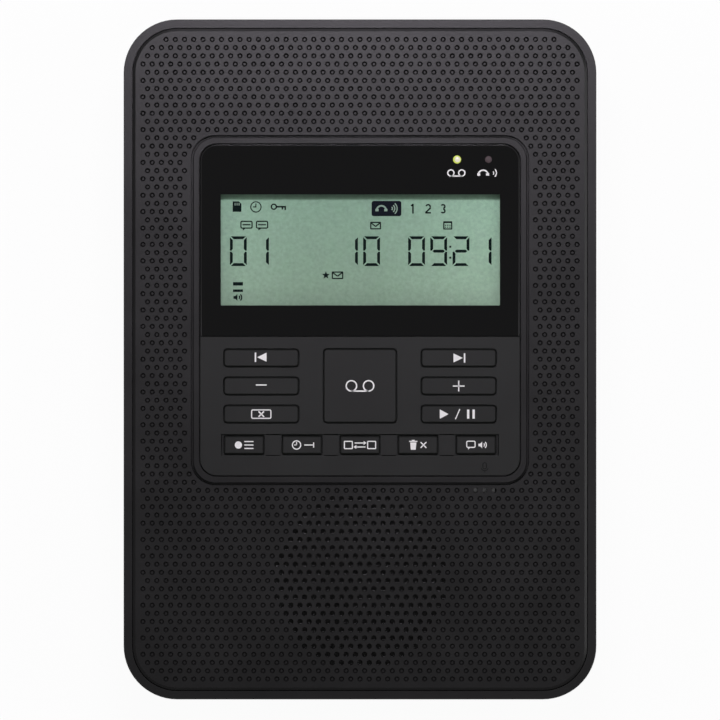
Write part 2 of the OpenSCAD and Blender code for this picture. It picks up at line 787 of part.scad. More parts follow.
front_cover();
grille_panel();
control_bezel();
key_plate();
display_window();
window_mask();
lcd_holder();
lcd_glass();
lcd_backlight();
lcd_connector();
status_leds();
side_key(-1, 0);  // key_skip_back
side_key(-1, 1);  // key_volume_down
side_key(-1, 2);  // key_cancel
side_key(1, 0);  // key_skip_forward
side_key(1, 1);  // key_volume_up
side_key(1, 2);  // key_play_pause
answer_key();  // key_answer_on
small_key(0);  // key_register
small_key(1);  // key_timer
small_key(2);  // key_display
small_key(3);  // key_erase
small_key(4);  // key_greeting
rubber_keymat();
key_board();
key_board_screws();
board_link();
speaker_cloth();
speaker_gasket();
speaker_basket();
speaker_cone();
speaker_magnet();
speaker_screws();
speaker_lead();
microphone();
mic_boot();
main_board();
main_board_screws();
dc_jack();
line_jack();
phone_jack();
card_socket();
line_transformer();
line_relay();
board_chips();
board_capacitors();
clock_battery();
battery_clip();
rear_cover();
rubber_feet();
case_screws();
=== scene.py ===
# %% [markdown]
# # A desk answering machine, dressed in Blender
# The machine lies on a desk with its face up. Its covers, keys, sockets and boards come from
# an exact model with joints, and this lesson adds what that model leaves out: the finish of
# each plastic, the pressed pattern of the face, the display, and the printed signs. We start
# by loading the exact model as a fixed frame. Everything is in metres, X runs to the right of
# the face, Y to the edge with the sockets, and Z out of the face.

# %% Load the frame
import math

import bpy
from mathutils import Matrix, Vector, geometry


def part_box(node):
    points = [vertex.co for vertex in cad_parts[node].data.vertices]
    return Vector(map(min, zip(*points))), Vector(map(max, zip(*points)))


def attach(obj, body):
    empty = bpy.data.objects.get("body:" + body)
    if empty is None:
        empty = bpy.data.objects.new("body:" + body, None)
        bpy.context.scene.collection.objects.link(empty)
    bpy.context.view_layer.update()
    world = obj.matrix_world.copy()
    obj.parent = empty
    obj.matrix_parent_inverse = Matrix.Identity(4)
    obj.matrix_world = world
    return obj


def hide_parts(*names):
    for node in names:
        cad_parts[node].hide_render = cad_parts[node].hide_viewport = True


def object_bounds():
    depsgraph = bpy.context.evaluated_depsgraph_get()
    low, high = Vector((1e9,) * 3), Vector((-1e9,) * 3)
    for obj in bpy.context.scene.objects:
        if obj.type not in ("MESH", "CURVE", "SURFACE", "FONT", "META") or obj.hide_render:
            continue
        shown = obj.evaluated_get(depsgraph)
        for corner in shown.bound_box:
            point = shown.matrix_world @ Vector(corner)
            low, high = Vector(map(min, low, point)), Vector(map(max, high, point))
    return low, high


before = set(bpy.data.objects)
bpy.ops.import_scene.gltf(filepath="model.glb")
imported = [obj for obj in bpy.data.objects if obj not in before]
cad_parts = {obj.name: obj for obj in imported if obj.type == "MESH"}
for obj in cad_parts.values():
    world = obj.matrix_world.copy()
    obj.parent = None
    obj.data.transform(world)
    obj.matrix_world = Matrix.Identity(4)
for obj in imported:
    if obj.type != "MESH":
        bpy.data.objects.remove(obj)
cad_low, cad_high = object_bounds()
MM = 0.001
print("nodes:", len(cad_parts), "size in mm:", [round(s / MM, 1) for s in cad_high - cad_low])

# %% [markdown]
# ## Heights to work from
# A new piece must sit on what carries it, so its height is read from the frame and not typed
# in. `top` gives the upper height of a node.

# %% Heights of the carried-over pieces


def top(node):
    """Highest point of a node."""
    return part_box(node)[1].z


face_z = top("grille_panel")
window_z = top("display_window")
plate_z = top("key_plate")
cell_z = top("lcd_glass")
print("face", round(face_z / MM, 2), "window", round(window_z / MM, 2), "cell", round(cell_z / MM, 2))

# %% [markdown]
# ## The camera
# A catalogue picture of a flat product is taken straight from above through a long lens, which
# keeps the side walls out of sight. We place the camera over the middle and work out the lens
# from the width that the square picture covers at the height of the face.

# %% Camera
PICTURE_SPAN = 198 * MM
CAMERA_RISE = 1.4
PICTURE_CENTRE = (0.0, -0.16 * MM)

camera_data = bpy.data.cameras.new("camera")
camera_data.sensor_width = 36
camera_data.lens = camera_data.sensor_width * CAMERA_RISE / PICTURE_SPAN
camera_data.clip_end = 20
camera = bpy.data.objects.new("camera", camera_data)
camera.location = (*PICTURE_CENTRE, face_z + CAMERA_RISE)
bpy.context.scene.collection.objects.link(camera)
bpy.context.scene.camera = camera
bpy.context.scene.view_settings.view_transform = "Standard"
print("lens", round(camera_data.lens, 1), "mm")

# %% [markdown]
# ## A short way to write node trees
# The sky, the floor and every finish are trees of nodes. Written out, each node takes a line to
# make it, one for each setting and one for each link, and the idea gets lost. `Graph` wraps a
# tree so that one call adds one node. A value is a number, a colour or another node's output.

# %% Graph of nodes


class Graph:
    """Adds nodes to a node tree."""

    def __init__(self, tree):
        self.tree = tree

    def fill(self, node, slots, values):
        """Feeds inputs by slot: an output is linked, anything else is set."""
        for slot, value in zip(slots, values):
            if isinstance(value, bpy.types.NodeSocket):
                self.tree.links.new(value, node.inputs[slot])
            else:
                node.inputs[slot].default_value = value
        return node

    def feed(self, node, **values):
        """Feeds inputs by name, with _ for a space."""
        return self.fill(node, [label.replace("_", " ") for label in values], values.values())

    def add(self, kind, options=None, **values):
        """Makes a node, chooses its options and feeds its inputs."""
        node = self.tree.nodes.new("ShaderNode" + kind)
        for option, choice in (options or {}).items():
            setattr(node, option, choice)
        return self.feed(node, **values)

    def group(self, group, **values):
        """Places a node group and gives its outputs."""
        return self.add("Group", {"node_tree": group}, **values).outputs

    def place(self):
        """Place in the object, in metres."""
        return self.add("TexCoord").outputs["Object"]

    def axes(self):
        """The same place as X, Y and Z."""
        return self.add("SeparateXYZ", Vector=self.place()).outputs

    def math(self, operation, *values):
        """A sum on one or two values."""
        return self.fill(self.add("Math", {"operation": operation}), range(2), values).outputs[0]

    def between(self, value, low, high):
        """1 where a value lies between two limits, else 0."""
        above, below = self.math("GREATER_THAN", value, low), self.math("LESS_THAN", value, high)
        return self.math("MULTIPLY", above, below)

    def remap(self, value, low, high, from_low=0.0, from_high=1.0):
        """Stretches a range of values onto the range from low to high."""
        return self.add("MapRange", Value=value, From_Min=from_low, From_Max=from_high,
                        To_Min=low, To_Max=high).outputs["Result"]

    def noise(self, scale, detail, roughness=0.5, place=None):
        """Noise in object space, or at another place."""
        place = self.place() if place is None else place
        return self.add("TexNoise", Vector=place, Scale=scale, Detail=detail,
                        Roughness=roughness).outputs["Fac"]

    def mix(self, share, first, second, blend_type="MIX"):
        """Mixes two colours."""
        node = self.add("Mix", {"data_type": "RGBA", "blend_type": blend_type})
        return self.fill(node, (0, 6, 7), (share, first, second)).outputs[2]

    def mix_shaders(self, share, first, second):
        """Mixes two shader nodes."""
        values = (share, first.outputs[0], second.outputs[0])
        return self.fill(self.add("MixShader"), range(3), values).outputs[0]

    def bump(self, height, distance):
        """A normal from a height, as deep as the distance in metres."""
        return self.add("Bump", Strength=1, Distance=distance, Height=height).outputs["Normal"]


def shade(level, tint=(1.0, 1.0, 1.0)):
    """A linear colour of one level and a tint, with alpha."""
    return (*[level * part for part in tint], 1.0)


print("ways to add nodes:", [name for name in vars(Graph) if name[0] != "_"])

# %% [markdown]
# ## Light and floor
# Black plastic shows its form only by what it mirrors. A wide soft light stands behind the
# socket edge, so its reflection lies on the upper part of the face and fades towards the
# speaker. The sky straight above stays dim, or the window would look grey. The floor glows
# white for the camera and in mirrored or clear surfaces, and still takes a small share of the
# real light, so a faint shadow stays under the case.

# %% Lights, world and floor
FACE_CENTRE = (0, 0, face_z)
SKY_STRENGTH = 0.14
FLOOR_HALF = 6
FLOOR_DROP = 0.05 * MM
FLOOR_GLOW_SHARE = 0.95


def add_area_light(name, place, aim, size, power, color=(1, 1, 1), mirrored=True):
    """Makes a rectangular soft light that looks at a point; plastic may mirror it or not."""
    data = bpy.data.lights.new(name, "AREA")
    data.shape = "RECTANGLE"
    data.size, data.size_y = size
    data.energy = power
    data.color = color
    light = bpy.data.objects.new(name, data)
    light.location = place
    light.rotation_euler = (Vector(aim) - Vector(place)).to_track_quat("-Z", "Y").to_euler()
    light.visible_glossy = mirrored
    bpy.context.scene.collection.objects.link(light)


add_area_light("rear_softbox", (0.0, 0.262, 0.537), (0.0, 0.02, face_z), (0.2, 0.08), 1.68,
               color=(1.0, 0.93, 1.04))
add_area_light("right_softbox", (0.5, 0.0, 0.65), (0.05, 0, face_z), (0.3, 0.3), 0.75)
add_area_light("left_fill", (-1.3, 0.2, 1.1), FACE_CENTRE, (0.8, 0.8), 4, mirrored=False)
add_area_light("front_fill", (0.0, -1.4, 1.1), FACE_CENTRE, (1.0, 0.6), 4, mirrored=False)

world = bpy.data.worlds.new("studio")
bpy.context.scene.world = world
world.use_nodes = True
world.node_tree.nodes.clear()
sky = Graph(world.node_tree)
sky.add("OutputWorld", Surface=sky.mix_shaders(
    sky.add("LightPath").outputs["Is Camera Ray"],
    sky.add("Background", Color=shade(1), Strength=SKY_STRENGTH),
    sky.add("Background", Color=shade(1), Strength=1)))

floor_mesh = bpy.data.meshes.new("floor")
floor_mesh.from_pydata([(x * FLOOR_HALF, y * FLOOR_HALF, cad_low.z - FLOOR_DROP)
                        for x, y in ((-1, -1), (1, -1), (1, 1), (-1, 1))], [], [(0, 1, 2, 3)])
floor = bpy.data.objects.new("floor", floor_mesh)
bpy.context.scene.collection.objects.link(floor)

floor_material = bpy.data.materials.new("white_floor")
floor_material.use_nodes = True
floor_material.node_tree.nodes.clear()
paint = Graph(floor_material.node_tree)
rays = paint.add("LightPath").outputs
seen = paint.math("MAXIMUM", rays["Is Camera Ray"], rays["Is Glossy Ray"])
seen = paint.math("MAXIMUM", seen, rays["Is Transmission Ray"])
paint.add("OutputMaterial", Surface=paint.mix_shaders(
    paint.math("MULTIPLY", seen, FLOOR_GLOW_SHARE),
    paint.add("BsdfDiffuse", Color=shade(0.9)),
    paint.add("Emission", Strength=1)))
floor_mesh.materials.append(floor_material)
print("lights:", len(bpy.data.lights), "floor at", round((cad_low.z - FLOOR_DROP) / MM, 2), "mm")

# %% [markdown]
# ## Effects that several finishes share
# Moulded plastic has a fine grain from its steel tool, a slightly uneven tone, and edges that
# are rubbed a little smoother and lighter than the faces. Each of these is a node group with
# named sockets, built once and placed in each material with its own values. A fourth group
# measures how far a point lies inside a rounded outline, for lines that follow it. The groups
# give out only heights, masks and colours; the shader itself stays in the material.

# %% Node groups


def new_group(name, inputs, outputs):
    """Starts a group. A default with several parts, or the name Color, makes a colour socket."""
    tree = bpy.data.node_groups.new(name, "ShaderNodeTree")

    def socket(label, in_out, is_color):
        kind = "NodeSocketColor" if is_color else "NodeSocketFloat"
        return tree.interface.new_socket(name=label, in_out=in_out, socket_type=kind)

    for label, default in inputs.items():
        socket(label, "INPUT", isinstance(default, tuple)).default_value = default
    for label in outputs:
        socket(label, "OUTPUT", label == "Color")
    given, out = tree.nodes.new("NodeGroupInput"), tree.nodes.new("NodeGroupOutput")
    return Graph(tree), given.outputs, out


def build_grain_group():
    """Height of a tool grain: small soft bumps broken up by a larger swell."""
    graph, given, out = new_group("tool_grain", {"Grains per metre": 2200.0, "Swell": 0.2},
                                  ["Height"])
    fine = graph.noise(given["Grains per metre"], 2, 0.6)
    swell = graph.math("MULTIPLY", graph.noise(90, 1), given["Swell"])
    graph.feed(out, Height=graph.math("ADD", fine, swell))
    return graph.tree


def build_tone_group():
    """A colour that wanders a little between two tones, as the plastic of a moulding does."""
    graph, given, out = new_group(
        "uneven_tone", {"Dark": shade(0), "Light": shade(1), "Patches per metre": 60.0},
        ["Color", "Mask"])
    mask = graph.remap(graph.noise(given["Patches per metre"], 4, 0.55), 0, 1, 0.3, 0.7)
    graph.feed(out, Color=graph.mix(mask, given["Dark"], given["Light"]), Mask=mask)
    return graph.tree


WEAR_PATCHES, WEAR_GAIN = 700, 8.0


def build_edge_group():
    """Lightens a colour along sharp edges, broken up by noise."""
    graph, given, out = new_group(
        "rubbed_edge",
        {"Color": shade(0), "Edge Color": shade(0.2), "Width": 0.0003, "Amount": 0.5}, ["Color"])
    rounded = graph.add("Bevel", {"samples": 4}, Radius=given["Width"])
    likeness = graph.add("VectorMath", {"operation": "DOT_PRODUCT"})
    normals = (rounded.outputs["Normal"], graph.add("NewGeometry").outputs["Normal"])
    graph.fill(likeness, range(2), normals)
    turn = graph.math("SUBTRACT", 1.0, likeness.outputs["Value"])
    worn = graph.math("MULTIPLY", turn, graph.noise(WEAR_PATCHES, 2))
    capped = graph.math("MINIMUM", graph.math("MULTIPLY", worn, WEAR_GAIN), 1.0)
    mask = graph.math("MULTIPLY", capped, given["Amount"])
    graph.feed(out, Color=graph.mix(mask, given["Color"], given["Edge Color"]))
    return graph.tree


def build_outline_group():
    """How far a point lies inside the outline of a rounded rectangle, seen from above."""
    sizes = ("Centre X", "Centre Y", "Half X", "Half Y", "Radius")
    graph, given, out = new_group("outline_distance", dict.fromkeys(sizes, 0.0), ["Distance"])
    axes, radius = graph.axes(), given["Radius"]
    past, squares = [], []
    for axis in ("X", "Y"):
        offset = graph.math("SUBTRACT", axes[axis], given["Centre " + axis])
        straight = graph.math("SUBTRACT", given["Half " + axis], radius)
        past.append(graph.math("SUBTRACT", graph.math("ABSOLUTE", offset), straight))
        beyond = graph.math("MAXIMUM", past[-1], 0.0)
        squares.append(graph.math("MULTIPLY", beyond, beyond))
    corner = graph.math("SQRT", graph.math("ADD", *squares))
    side = graph.math("MINIMUM", graph.math("MAXIMUM", *past), 0.0)
    graph.feed(out, Distance=graph.math("SUBTRACT", radius, graph.math("ADD", corner, side)))
    return graph.tree


grain_group = build_grain_group()
tone_group = build_tone_group()
edge_group = build_edge_group()
outline_group = build_outline_group()
print("groups:", grain_group.name, tone_group.name, edge_group.name, outline_group.name)

# %% [markdown]
# ## Plastic, the main finish
# Nearly all that shows is one black plastic with a satin grain. `make_plastic` puts three of
# the groups before a Principled shader: the uneven tone feeds the rubbed edge, which feeds the
# base colour, and the grain feeds a Bump node. What is the same all over, such as the index of
# refraction, is typed straight into the shader.

# %% Plastic materials


def new_material(name):
    """A material with its graph and its Principled shader at hand."""
    material = bpy.data.materials.new(name)
    material.use_nodes = True
    tree = material.node_tree
    return material, Graph(tree), tree.nodes["Principled BSDF"]


def make_plastic(name, level, tint=(1.0, 1.0, 1.0), roughness=0.45, grains=2200.0,
                 depth=0.00002, edge=0.25, ior=1.5, shine=0.5):
    """Moulded plastic with a grain, an uneven tone and slightly lighter edges."""
    material, graph, shader = new_material(name)
    tone = graph.group(tone_group, Dark=shade(level * 0.88, tint),
                       Light=shade(level * 1.12, tint), Patches_per_metre=70.0)
    rim = graph.group(edge_group, Color=tone["Color"],
                      Edge_Color=shade(level * 3 + 0.01, tint), Amount=edge)
    grain = graph.group(grain_group, Grains_per_metre=grains)
    graph.feed(shader, Base_Color=rim["Color"], IOR=ior, Specular_IOR_Level=shine,
               Roughness=graph.remap(tone["Mask"], roughness * 0.94, roughness * 1.06),
               Normal=graph.bump(grain["Height"], depth))
    return material


case_plastic = make_plastic("case_plastic", 0.0065, roughness=0.36)
panel_plastic = make_plastic("panel_plastic", 0.0065, roughness=0.36, edge=0.0)
wall_plastic = make_plastic("wall_plastic", 0.009, roughness=0.8, edge=0.0, shine=0.08)
GREENED = (0.97, 1.07, 0.96)
plate_plastic = make_plastic("plate_plastic", 0.0105, GREENED, 0.5, grains=3000.0, ior=1.4)
key_plastic = make_plastic("key_plastic", 0.0095, GREENED, 0.5, grains=3000.0, ior=1.4)
# Near-black, almost unshiny plastic for the painted shadow line round the small keys' strip.
shadow_line_plastic = make_plastic("shadow_line_plastic", 0.0015, roughness=0.8, edge=0.0, shine=0.05)
frame_plastic = make_plastic("frame_plastic", 0.02)
socket_plastic = make_plastic("socket_plastic", 0.006, roughness=0.3, grains=1500.0)
cable_plastic = make_plastic("cable_plastic", 0.6, (1, 1, 0.94))
relay_plastic = make_plastic("relay_plastic", 0.5, (1.4, 0.7, 0.1), roughness=0.35)
chip_plastic = make_plastic("chip_plastic", 0.015, roughness=0.6)
sleeve_plastic = make_plastic("sleeve_plastic", 0.05, (0.4, 0.5, 1.8), roughness=0.3)
wire_plastic = make_plastic("wire_plastic", 0.3, (1.5, 0.15, 0.12), roughness=0.4)
foot_rubber = make_plastic("foot_rubber", 0.009, roughness=0.75, grains=1200.0, depth=0.00005)
mat_rubber = make_plastic("mat_rubber", 0.08, roughness=0.7)
strip_rubber = make_plastic("strip_rubber", 0.4, (1.5, 0.8, 0.7), roughness=0.6)
gasket_foam = make_plastic("gasket_foam", 0.01, roughness=0.95, grains=900.0, depth=0.0002)
light_guide = make_plastic("light_guide", 0.85, (1, 1, 0.97), roughness=0.3)
mask_film = make_plastic("mask_film", 0.003, roughness=0.5, edge=0.0)
print("materials so far:", len(bpy.data.materials))

# %% [markdown]
# ## Metal, board, cloth and paper
# Most of these lie inside the case, and show only through the sockets or when the machine is
# taken apart. They still get real finishes: brushed metal with fine lines, green solder resist
# with faint tracks, and a dark cloth with a fine weave, which shows in the open holes.

# %% Other materials
BRUSH_STRETCH = (30.0, 900.0, 900.0)


def make_metal(name, color, roughness=0.3):
    """Metal with fine lines along X that vary its roughness."""
    material, graph, shader = new_material(name)
    drawn = graph.add("Mapping", Vector=graph.place(), Scale=BRUSH_STRETCH)
    lines = graph.noise(4, 3, place=drawn.outputs["Vector"])
    graph.feed(shader, Metallic=1, Base_Color=graph.mix(lines, shade(0.85, color), shade(1, color)),
               Roughness=graph.remap(lines, roughness * 0.7, roughness * 1.3))
    return material


def make_board(name):
    """Green laminate with tracks that show faintly under the lacquer."""
    material, graph, shader = new_material(name)
    tracks = graph.add("TexVoronoi", {"feature": "DISTANCE_TO_EDGE", "distance": "MANHATTAN"},
                       Vector=graph.place(), Scale=260, Randomness=0.6)
    lines = graph.remap(tracks.outputs["Distance"], 0, 1, 0.04, 0.06)
    graph.feed(shader, Roughness=0.35,
               Base_Color=graph.mix(lines, (0.04, 0.2, 0.07, 1), (0.02, 0.12, 0.045, 1)))
    return material


def make_cloth(name, level, threads=4000.0):
    """Woven cloth: two crossing sets of threads as relief and tone."""
    material, graph, shader = new_material(name)
    waves = [graph.add("TexWave", {"bands_direction": direction}, Vector=graph.place(),
                       Scale=threads / 3, Distortion=0.4).outputs["Fac"]
             for direction in ("X", "Y")]
    weave = graph.math("MULTIPLY", *waves)
    graph.feed(shader, Base_Color=graph.mix(weave, shade(level * 0.8), shade(level * 1.2)),
               Normal=graph.bump(weave, 0.00003), Roughness=0.95, Specular_IOR_Level=0.1)
    return material


screw_steel = make_metal("screw_steel", (0.55, 0.55, 0.56), 0.35)
shield_steel = make_metal("shield_steel", (0.6, 0.6, 0.61), 0.25)
basket_steel = make_metal("basket_steel", (0.5, 0.5, 0.5), 0.4)
magnet_iron = make_metal("magnet_iron", (0.12, 0.12, 0.13), 0.5)
cell_steel = make_metal("cell_steel", (0.65, 0.65, 0.66), 0.22)
clip_brass = make_metal("clip_brass", (0.7, 0.6, 0.4), 0.3)
contact_gold = make_metal("contact_gold", (0.85, 0.62, 0.25), 0.2)
board_lacquer = make_board("board_lacquer")
grille_cloth = make_cloth("grille_cloth", 0.26)
cone_paper = make_cloth("cone_paper", 0.02, threads=600.0)

# %% [markdown]
# ## Window, display cell and lamps
# The window is one sheet of clear acrylic whose back is printed black except over the display.
# Looked at from the front, the printed part is a polished black surface, and the clear part is
# nearly nothing but a faint shine. One material does both: its alpha follows the outline of
# the view area, measured in object space, so it works from every side. Just inside its outline
# a thin lighter line is painted into its colour, a painted highlight, stronger at the bottom.
# The display cell is a pale green reflector, mottled at a fine scale, with painted light that
# makes it lighter towards both sides and painted shade from the mask along its upper edge.

# %% Window, cell and lamp materials
VIEW_LOW_X, VIEW_HIGH_X = -38.35 * MM, 38.55 * MM
VIEW_LOW_Y, VIEW_HIGH_Y = 14.85 * MM, 45.45 * MM
CLEAR_ALPHA = 0.05
WINDOW_RADIUS = 4.45 * MM
WINDOW_EASE = 0.18 * MM
OUTLINE_REACH = 100 * MM
GLINT_FROM, GLINT_TO = 0.25 * MM, 0.5 * MM
GLINT_FULL_Y, GLINT_WEAK_Y = 8 * MM, 24 * MM
BACK_PRINT, GLINT_TONE = (0.0035, 0.0035, 0.0036, 1), (0.035, 0.035, 0.035, 1)
CELL_LOW_TONE, CELL_HIGH_TONE = (0.312, 0.482, 0.332, 1), (0.308, 0.52, 0.364, 1)
CELL_MIDDLE_X, CELL_EVEN_HALF = -6 * MM, 10 * MM
MASK_SHADE_FROM, MASK_SHADE_TO = VIEW_HIGH_Y - 1.55 * MM, VIEW_HIGH_Y - 0.5 * MM


def make_window(name):
    """Polished acrylic, black where its back is printed, clear over the display, with a painted
    highlight near its edge.
    """
    material, graph, shader = new_material(name)
    axes = graph.axes()
    clear = graph.math("MULTIPLY", graph.between(axes["X"], VIEW_LOW_X, VIEW_HIGH_X),
                       graph.between(axes["Y"], VIEW_LOW_Y, VIEW_HIGH_Y))
    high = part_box("display_window")[1]
    sheet = graph.group(outline_group, Centre_X=0.0, Centre_Y=high.y - OUTLINE_REACH,
                        Half_X=high.x, Half_Y=OUTLINE_REACH, Radius=WINDOW_RADIUS)
    # Painted highlight: a lighter line in the base colour just inside the outline, stronger towards
    # the bottom, in place of light caught by the edge.
    glint = graph.between(sheet["Distance"], GLINT_FROM, GLINT_TO)
    lower = graph.remap(axes["Y"], 1.0, 0.35, GLINT_FULL_Y, GLINT_WEAK_Y)
    tone = graph.mix(graph.math("MULTIPLY", glint, lower), BACK_PRINT, GLINT_TONE)
    eased = graph.add("Bevel", {"samples": 8}, Radius=WINDOW_EASE)
    graph.feed(shader, IOR=1.49, Alpha=graph.remap(clear, 1, CLEAR_ALPHA), Base_Color=tone,
               Roughness=graph.remap(graph.noise(45, 5), 0.03, 0.07),
               Normal=eased.outputs["Normal"])
    return material


def make_cell(name):
    """The display's pale green reflector: mottled, with painted light towards both sides and painted
    shade below the mask at its top.
    """
    material, graph, shader = new_material(name)
    axes = graph.axes()
    height_tone = graph.mix(graph.remap(axes["Y"], 0, 1, VIEW_LOW_Y, VIEW_HIGH_Y),
                            CELL_LOW_TONE, CELL_HIGH_TONE)
    hue = graph.mix(graph.noise(350, 3), height_tone, (1.02, 0.93, 1.02, 1), "MULTIPLY")
    speckle = graph.remap(graph.noise(1100, 3), 0.91, 1.09, 0.3, 0.7)
    # Painted light: the cell's colour is made lighter towards both sides to even out the shine its
    # middle catches.
    aside = graph.math("ABSOLUTE", graph.math("SUBTRACT", axes["X"], CELL_MIDDLE_X))
    painted_side_light = graph.remap(aside, 0.98, 1.3, CELL_EVEN_HALF, VIEW_HIGH_X - CELL_MIDDLE_X)
    # Painted shade: the colour darkens along the top, where the mask's edge throws its shadow on the
    # cell.
    mask_shade = graph.remap(axes["Y"], 1.0, 0.6, MASK_SHADE_FROM, MASK_SHADE_TO)
    level = graph.math("MULTIPLY", graph.math("MULTIPLY", speckle, painted_side_light), mask_shade)
    scaled = graph.add("VectorMath", {"operation": "SCALE"})
    graph.fill(scaled, (0, "Scale"), (hue, level))
    graph.feed(shader, Base_Color=scaled.outputs["Vector"], Roughness=0.5,
               Specular_IOR_Level=0.1)
    return material


def make_lamp(name, color, glow):
    """A small diffusing lens, paler where it faces the eye; a lit one glows by itself."""
    material, graph, shader = new_material(name)
    facing = graph.add("LayerWeight", Blend=0.35).outputs["Facing"]
    tone = graph.mix(facing, shade(1.1, color), shade(0.7, color))
    if glow:
        graph.feed(shader, Roughness=0.3, Base_Color=(0.05, 0.05, 0.03, 1),
                   Emission_Color=tone, Emission_Strength=glow)
    else:
        graph.feed(shader, Roughness=0.65, Base_Color=tone)
    return material


def make_ink(name, color, shine=0.5):
    """Printed ink with a slightly uneven coat."""
    material, graph, shader = new_material(name)
    tone = graph.group(tone_group, Dark=shade(0.9, color), Light=shade(1, color),
                       Patches_per_metre=900.0)
    graph.feed(shader, Base_Color=tone["Color"], Roughness=0.5, Specular_IOR_Level=shine)
    return material


window_acrylic = make_window("window_acrylic")
display_cell = make_cell("display_cell")
lamp_edge = make_lamp("lamp_edge", (0.5, 0.58, 0.08), 1.0)
lamp_core = make_lamp("lamp_core", (0.66, 0.62, 0.5), 1.0)
lamp_dark = make_lamp("lamp_dark", (0.06, 0.042, 0.045), 0)
white_ink = make_ink("white_ink", (0.88, 0.88, 0.86))
segment_ink = make_ink("segment_ink", (0.004, 0.012, 0.011), shine=0.04)
badge_ink = make_ink("badge_ink", (0.008, 0.011, 0.018), shine=0.04)
cell_ink = make_ink("cell_ink", (0.33, 0.47, 0.37), shine=0.1)
print("materials:", len(bpy.data.materials))

# %% [markdown]
# ## Giving the finishes to the carried-over pieces
# A piece whose shape is right stays as it is and only changes its material. One table names
# the nodes of each finish, and a loop puts it in the node's material slot.

# %% Assign the finishes
KEYS = [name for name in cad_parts
        if name.startswith("key_") and name not in ("key_plate", "key_board", "key_board_screws")]
FINISHES = (
    (case_plastic, "front_cover rear_cover control_bezel"),
    (panel_plastic, "grille_panel"),
    (plate_plastic, "key_plate"),
    (key_plastic, " ".join(KEYS)),
    (window_acrylic, "display_window"),
    (mask_film, "window_mask"),
    (frame_plastic, "lcd_holder"),
    (display_cell, "lcd_glass"),
    (light_guide, "lcd_backlight"),
    (strip_rubber, "lcd_connector"),
    (lamp_dark, "status_leds"),
    (mat_rubber, "rubber_keymat"),
    (board_lacquer, "key_board main_board"),
    (screw_steel, "key_board_screws main_board_screws speaker_screws case_screws"),
    (cable_plastic, "board_link"),
    (grille_cloth, "speaker_cloth"),
    (gasket_foam, "speaker_gasket"),
    (basket_steel, "speaker_basket"),
    (cone_paper, "speaker_cone"),
    (magnet_iron, "speaker_magnet line_transformer"),
    (wire_plastic, "speaker_lead"),
    (shield_steel, "microphone card_socket"),
    (foot_rubber, "mic_boot rubber_feet"),
    (socket_plastic, "dc_jack line_jack phone_jack"),
    (relay_plastic, "line_relay"),
    (chip_plastic, "board_chips"),
    (sleeve_plastic, "board_capacitors"),
    (cell_steel, "clock_battery"),
    (clip_brass, "battery_clip"),
)
finished = 0
for finish, node_names in FINISHES:
    for node_name in node_names.split():
        node_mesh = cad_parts[node_name].data
        node_mesh.materials.clear()
        node_mesh.materials.append(finish)
        finished += 1
print("finished nodes:", finished, "of", len(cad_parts))

# %% [markdown]
# ## The perforated face
# The face is covered with staggered rows of small pressed holes. Over the speaker and the
# microphone they go right through; everywhere else they are shallow dimples, 0.45 mm deep,
# with a sloping wall and a small flat floor. Two thousand boolean cuts would be slow and would
# leave ragged triangles, so the mesh is laid out directly. Each hole sits in its own brick of
# the pattern: twelve points on the brick's edge join twelve points on the hole's mouth.
# Neighbouring bricks share their edge points, because the rows are shifted by half a pitch and
# the points lie a quarter pitch apart.

# %% Pattern of the holes
PITCH_X, PITCH_Y = 2.54, 2.255
HOLE_ROWS = 79
HALF_COLUMNS = 25
FIRST_ROW_Y = 88.0
SOUND_ROW, SOUND_RADIUS = 66, 23.9
MIC_ROW, MIC_COLUMN, MIC_REACH = 55, 13.5, 1.2
HOLE_MARGIN = 2.25
FIELD_MARGIN = 1.25
RIM_SIDES = 12

panel_low, panel_high = (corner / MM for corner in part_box("grille_panel"))
PANEL_RADIUS = 12.15
PANEL = {"centre": (0, 0), "half": (panel_high.x, panel_high.y), "radius": PANEL_RADIUS}
BEZEL_GAP = 0.2
bezel_low, bezel_high = (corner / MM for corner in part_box("control_bezel"))
bezel_middle, bezel_half = (bezel_low + bezel_high) / 2, (bezel_high - bezel_low) / 2
FIELD = {"centre": (bezel_middle.x, bezel_middle.y), "radius": 6.7,
         "half": (bezel_half.x + BEZEL_GAP, bezel_half.y + BEZEL_GAP)}


def row_y(row):
    """Height on the face of a row of holes, in mm."""
    return FIRST_ROW_Y - row * PITCH_Y


def depth_inside(x, y, centre, half, radius):
    """Distance from a point to the outline of a rounded rectangle, positive inside, in mm."""
    dx = abs(x - centre[0]) - (half[0] - radius)
    dy = abs(y - centre[1]) - (half[1] - radius)
    if dx > 0 and dy > 0:
        return radius - math.hypot(dx, dy)
    return radius - max(dx, dy)


def all_holes():
    """Every hole of the face: (row, quarter-pitch column, x, y, goes through)."""
    found = []
    for row in range(HOLE_ROWS):
        for column in range(-HALF_COLUMNS, HALF_COLUMNS + 1):
            shift = 0.5 * (row % 2)
            x, y = (column + shift) * PITCH_X, row_y(row)
            if (depth_inside(x, y, **PANEL) < HOLE_MARGIN
                    or depth_inside(x, y, **FIELD) > -FIELD_MARGIN):
                continue
            sounds = math.hypot(x, y - row_y(SOUND_ROW)) < SOUND_RADIUS
            hears = row == MIC_ROW and abs(column + shift - MIC_COLUMN) < MIC_REACH
            found.append((row, round(4 * (column + shift)), x, y, sounds or hears))
    return found


holes = all_holes()
print("holes:", len(holes), "open:", sum(hole[4] for hole in holes))

# %% [markdown]
# ## A skin to collect a mesh in
# A mesh needs its vertices numbered and its faces listed by those numbers. `Skin` does the
# counting: `loop` adds a closed row of points at one height, and `band` joins two such rows.

# %% Skin and outlines
EDGE_POINTS = 24


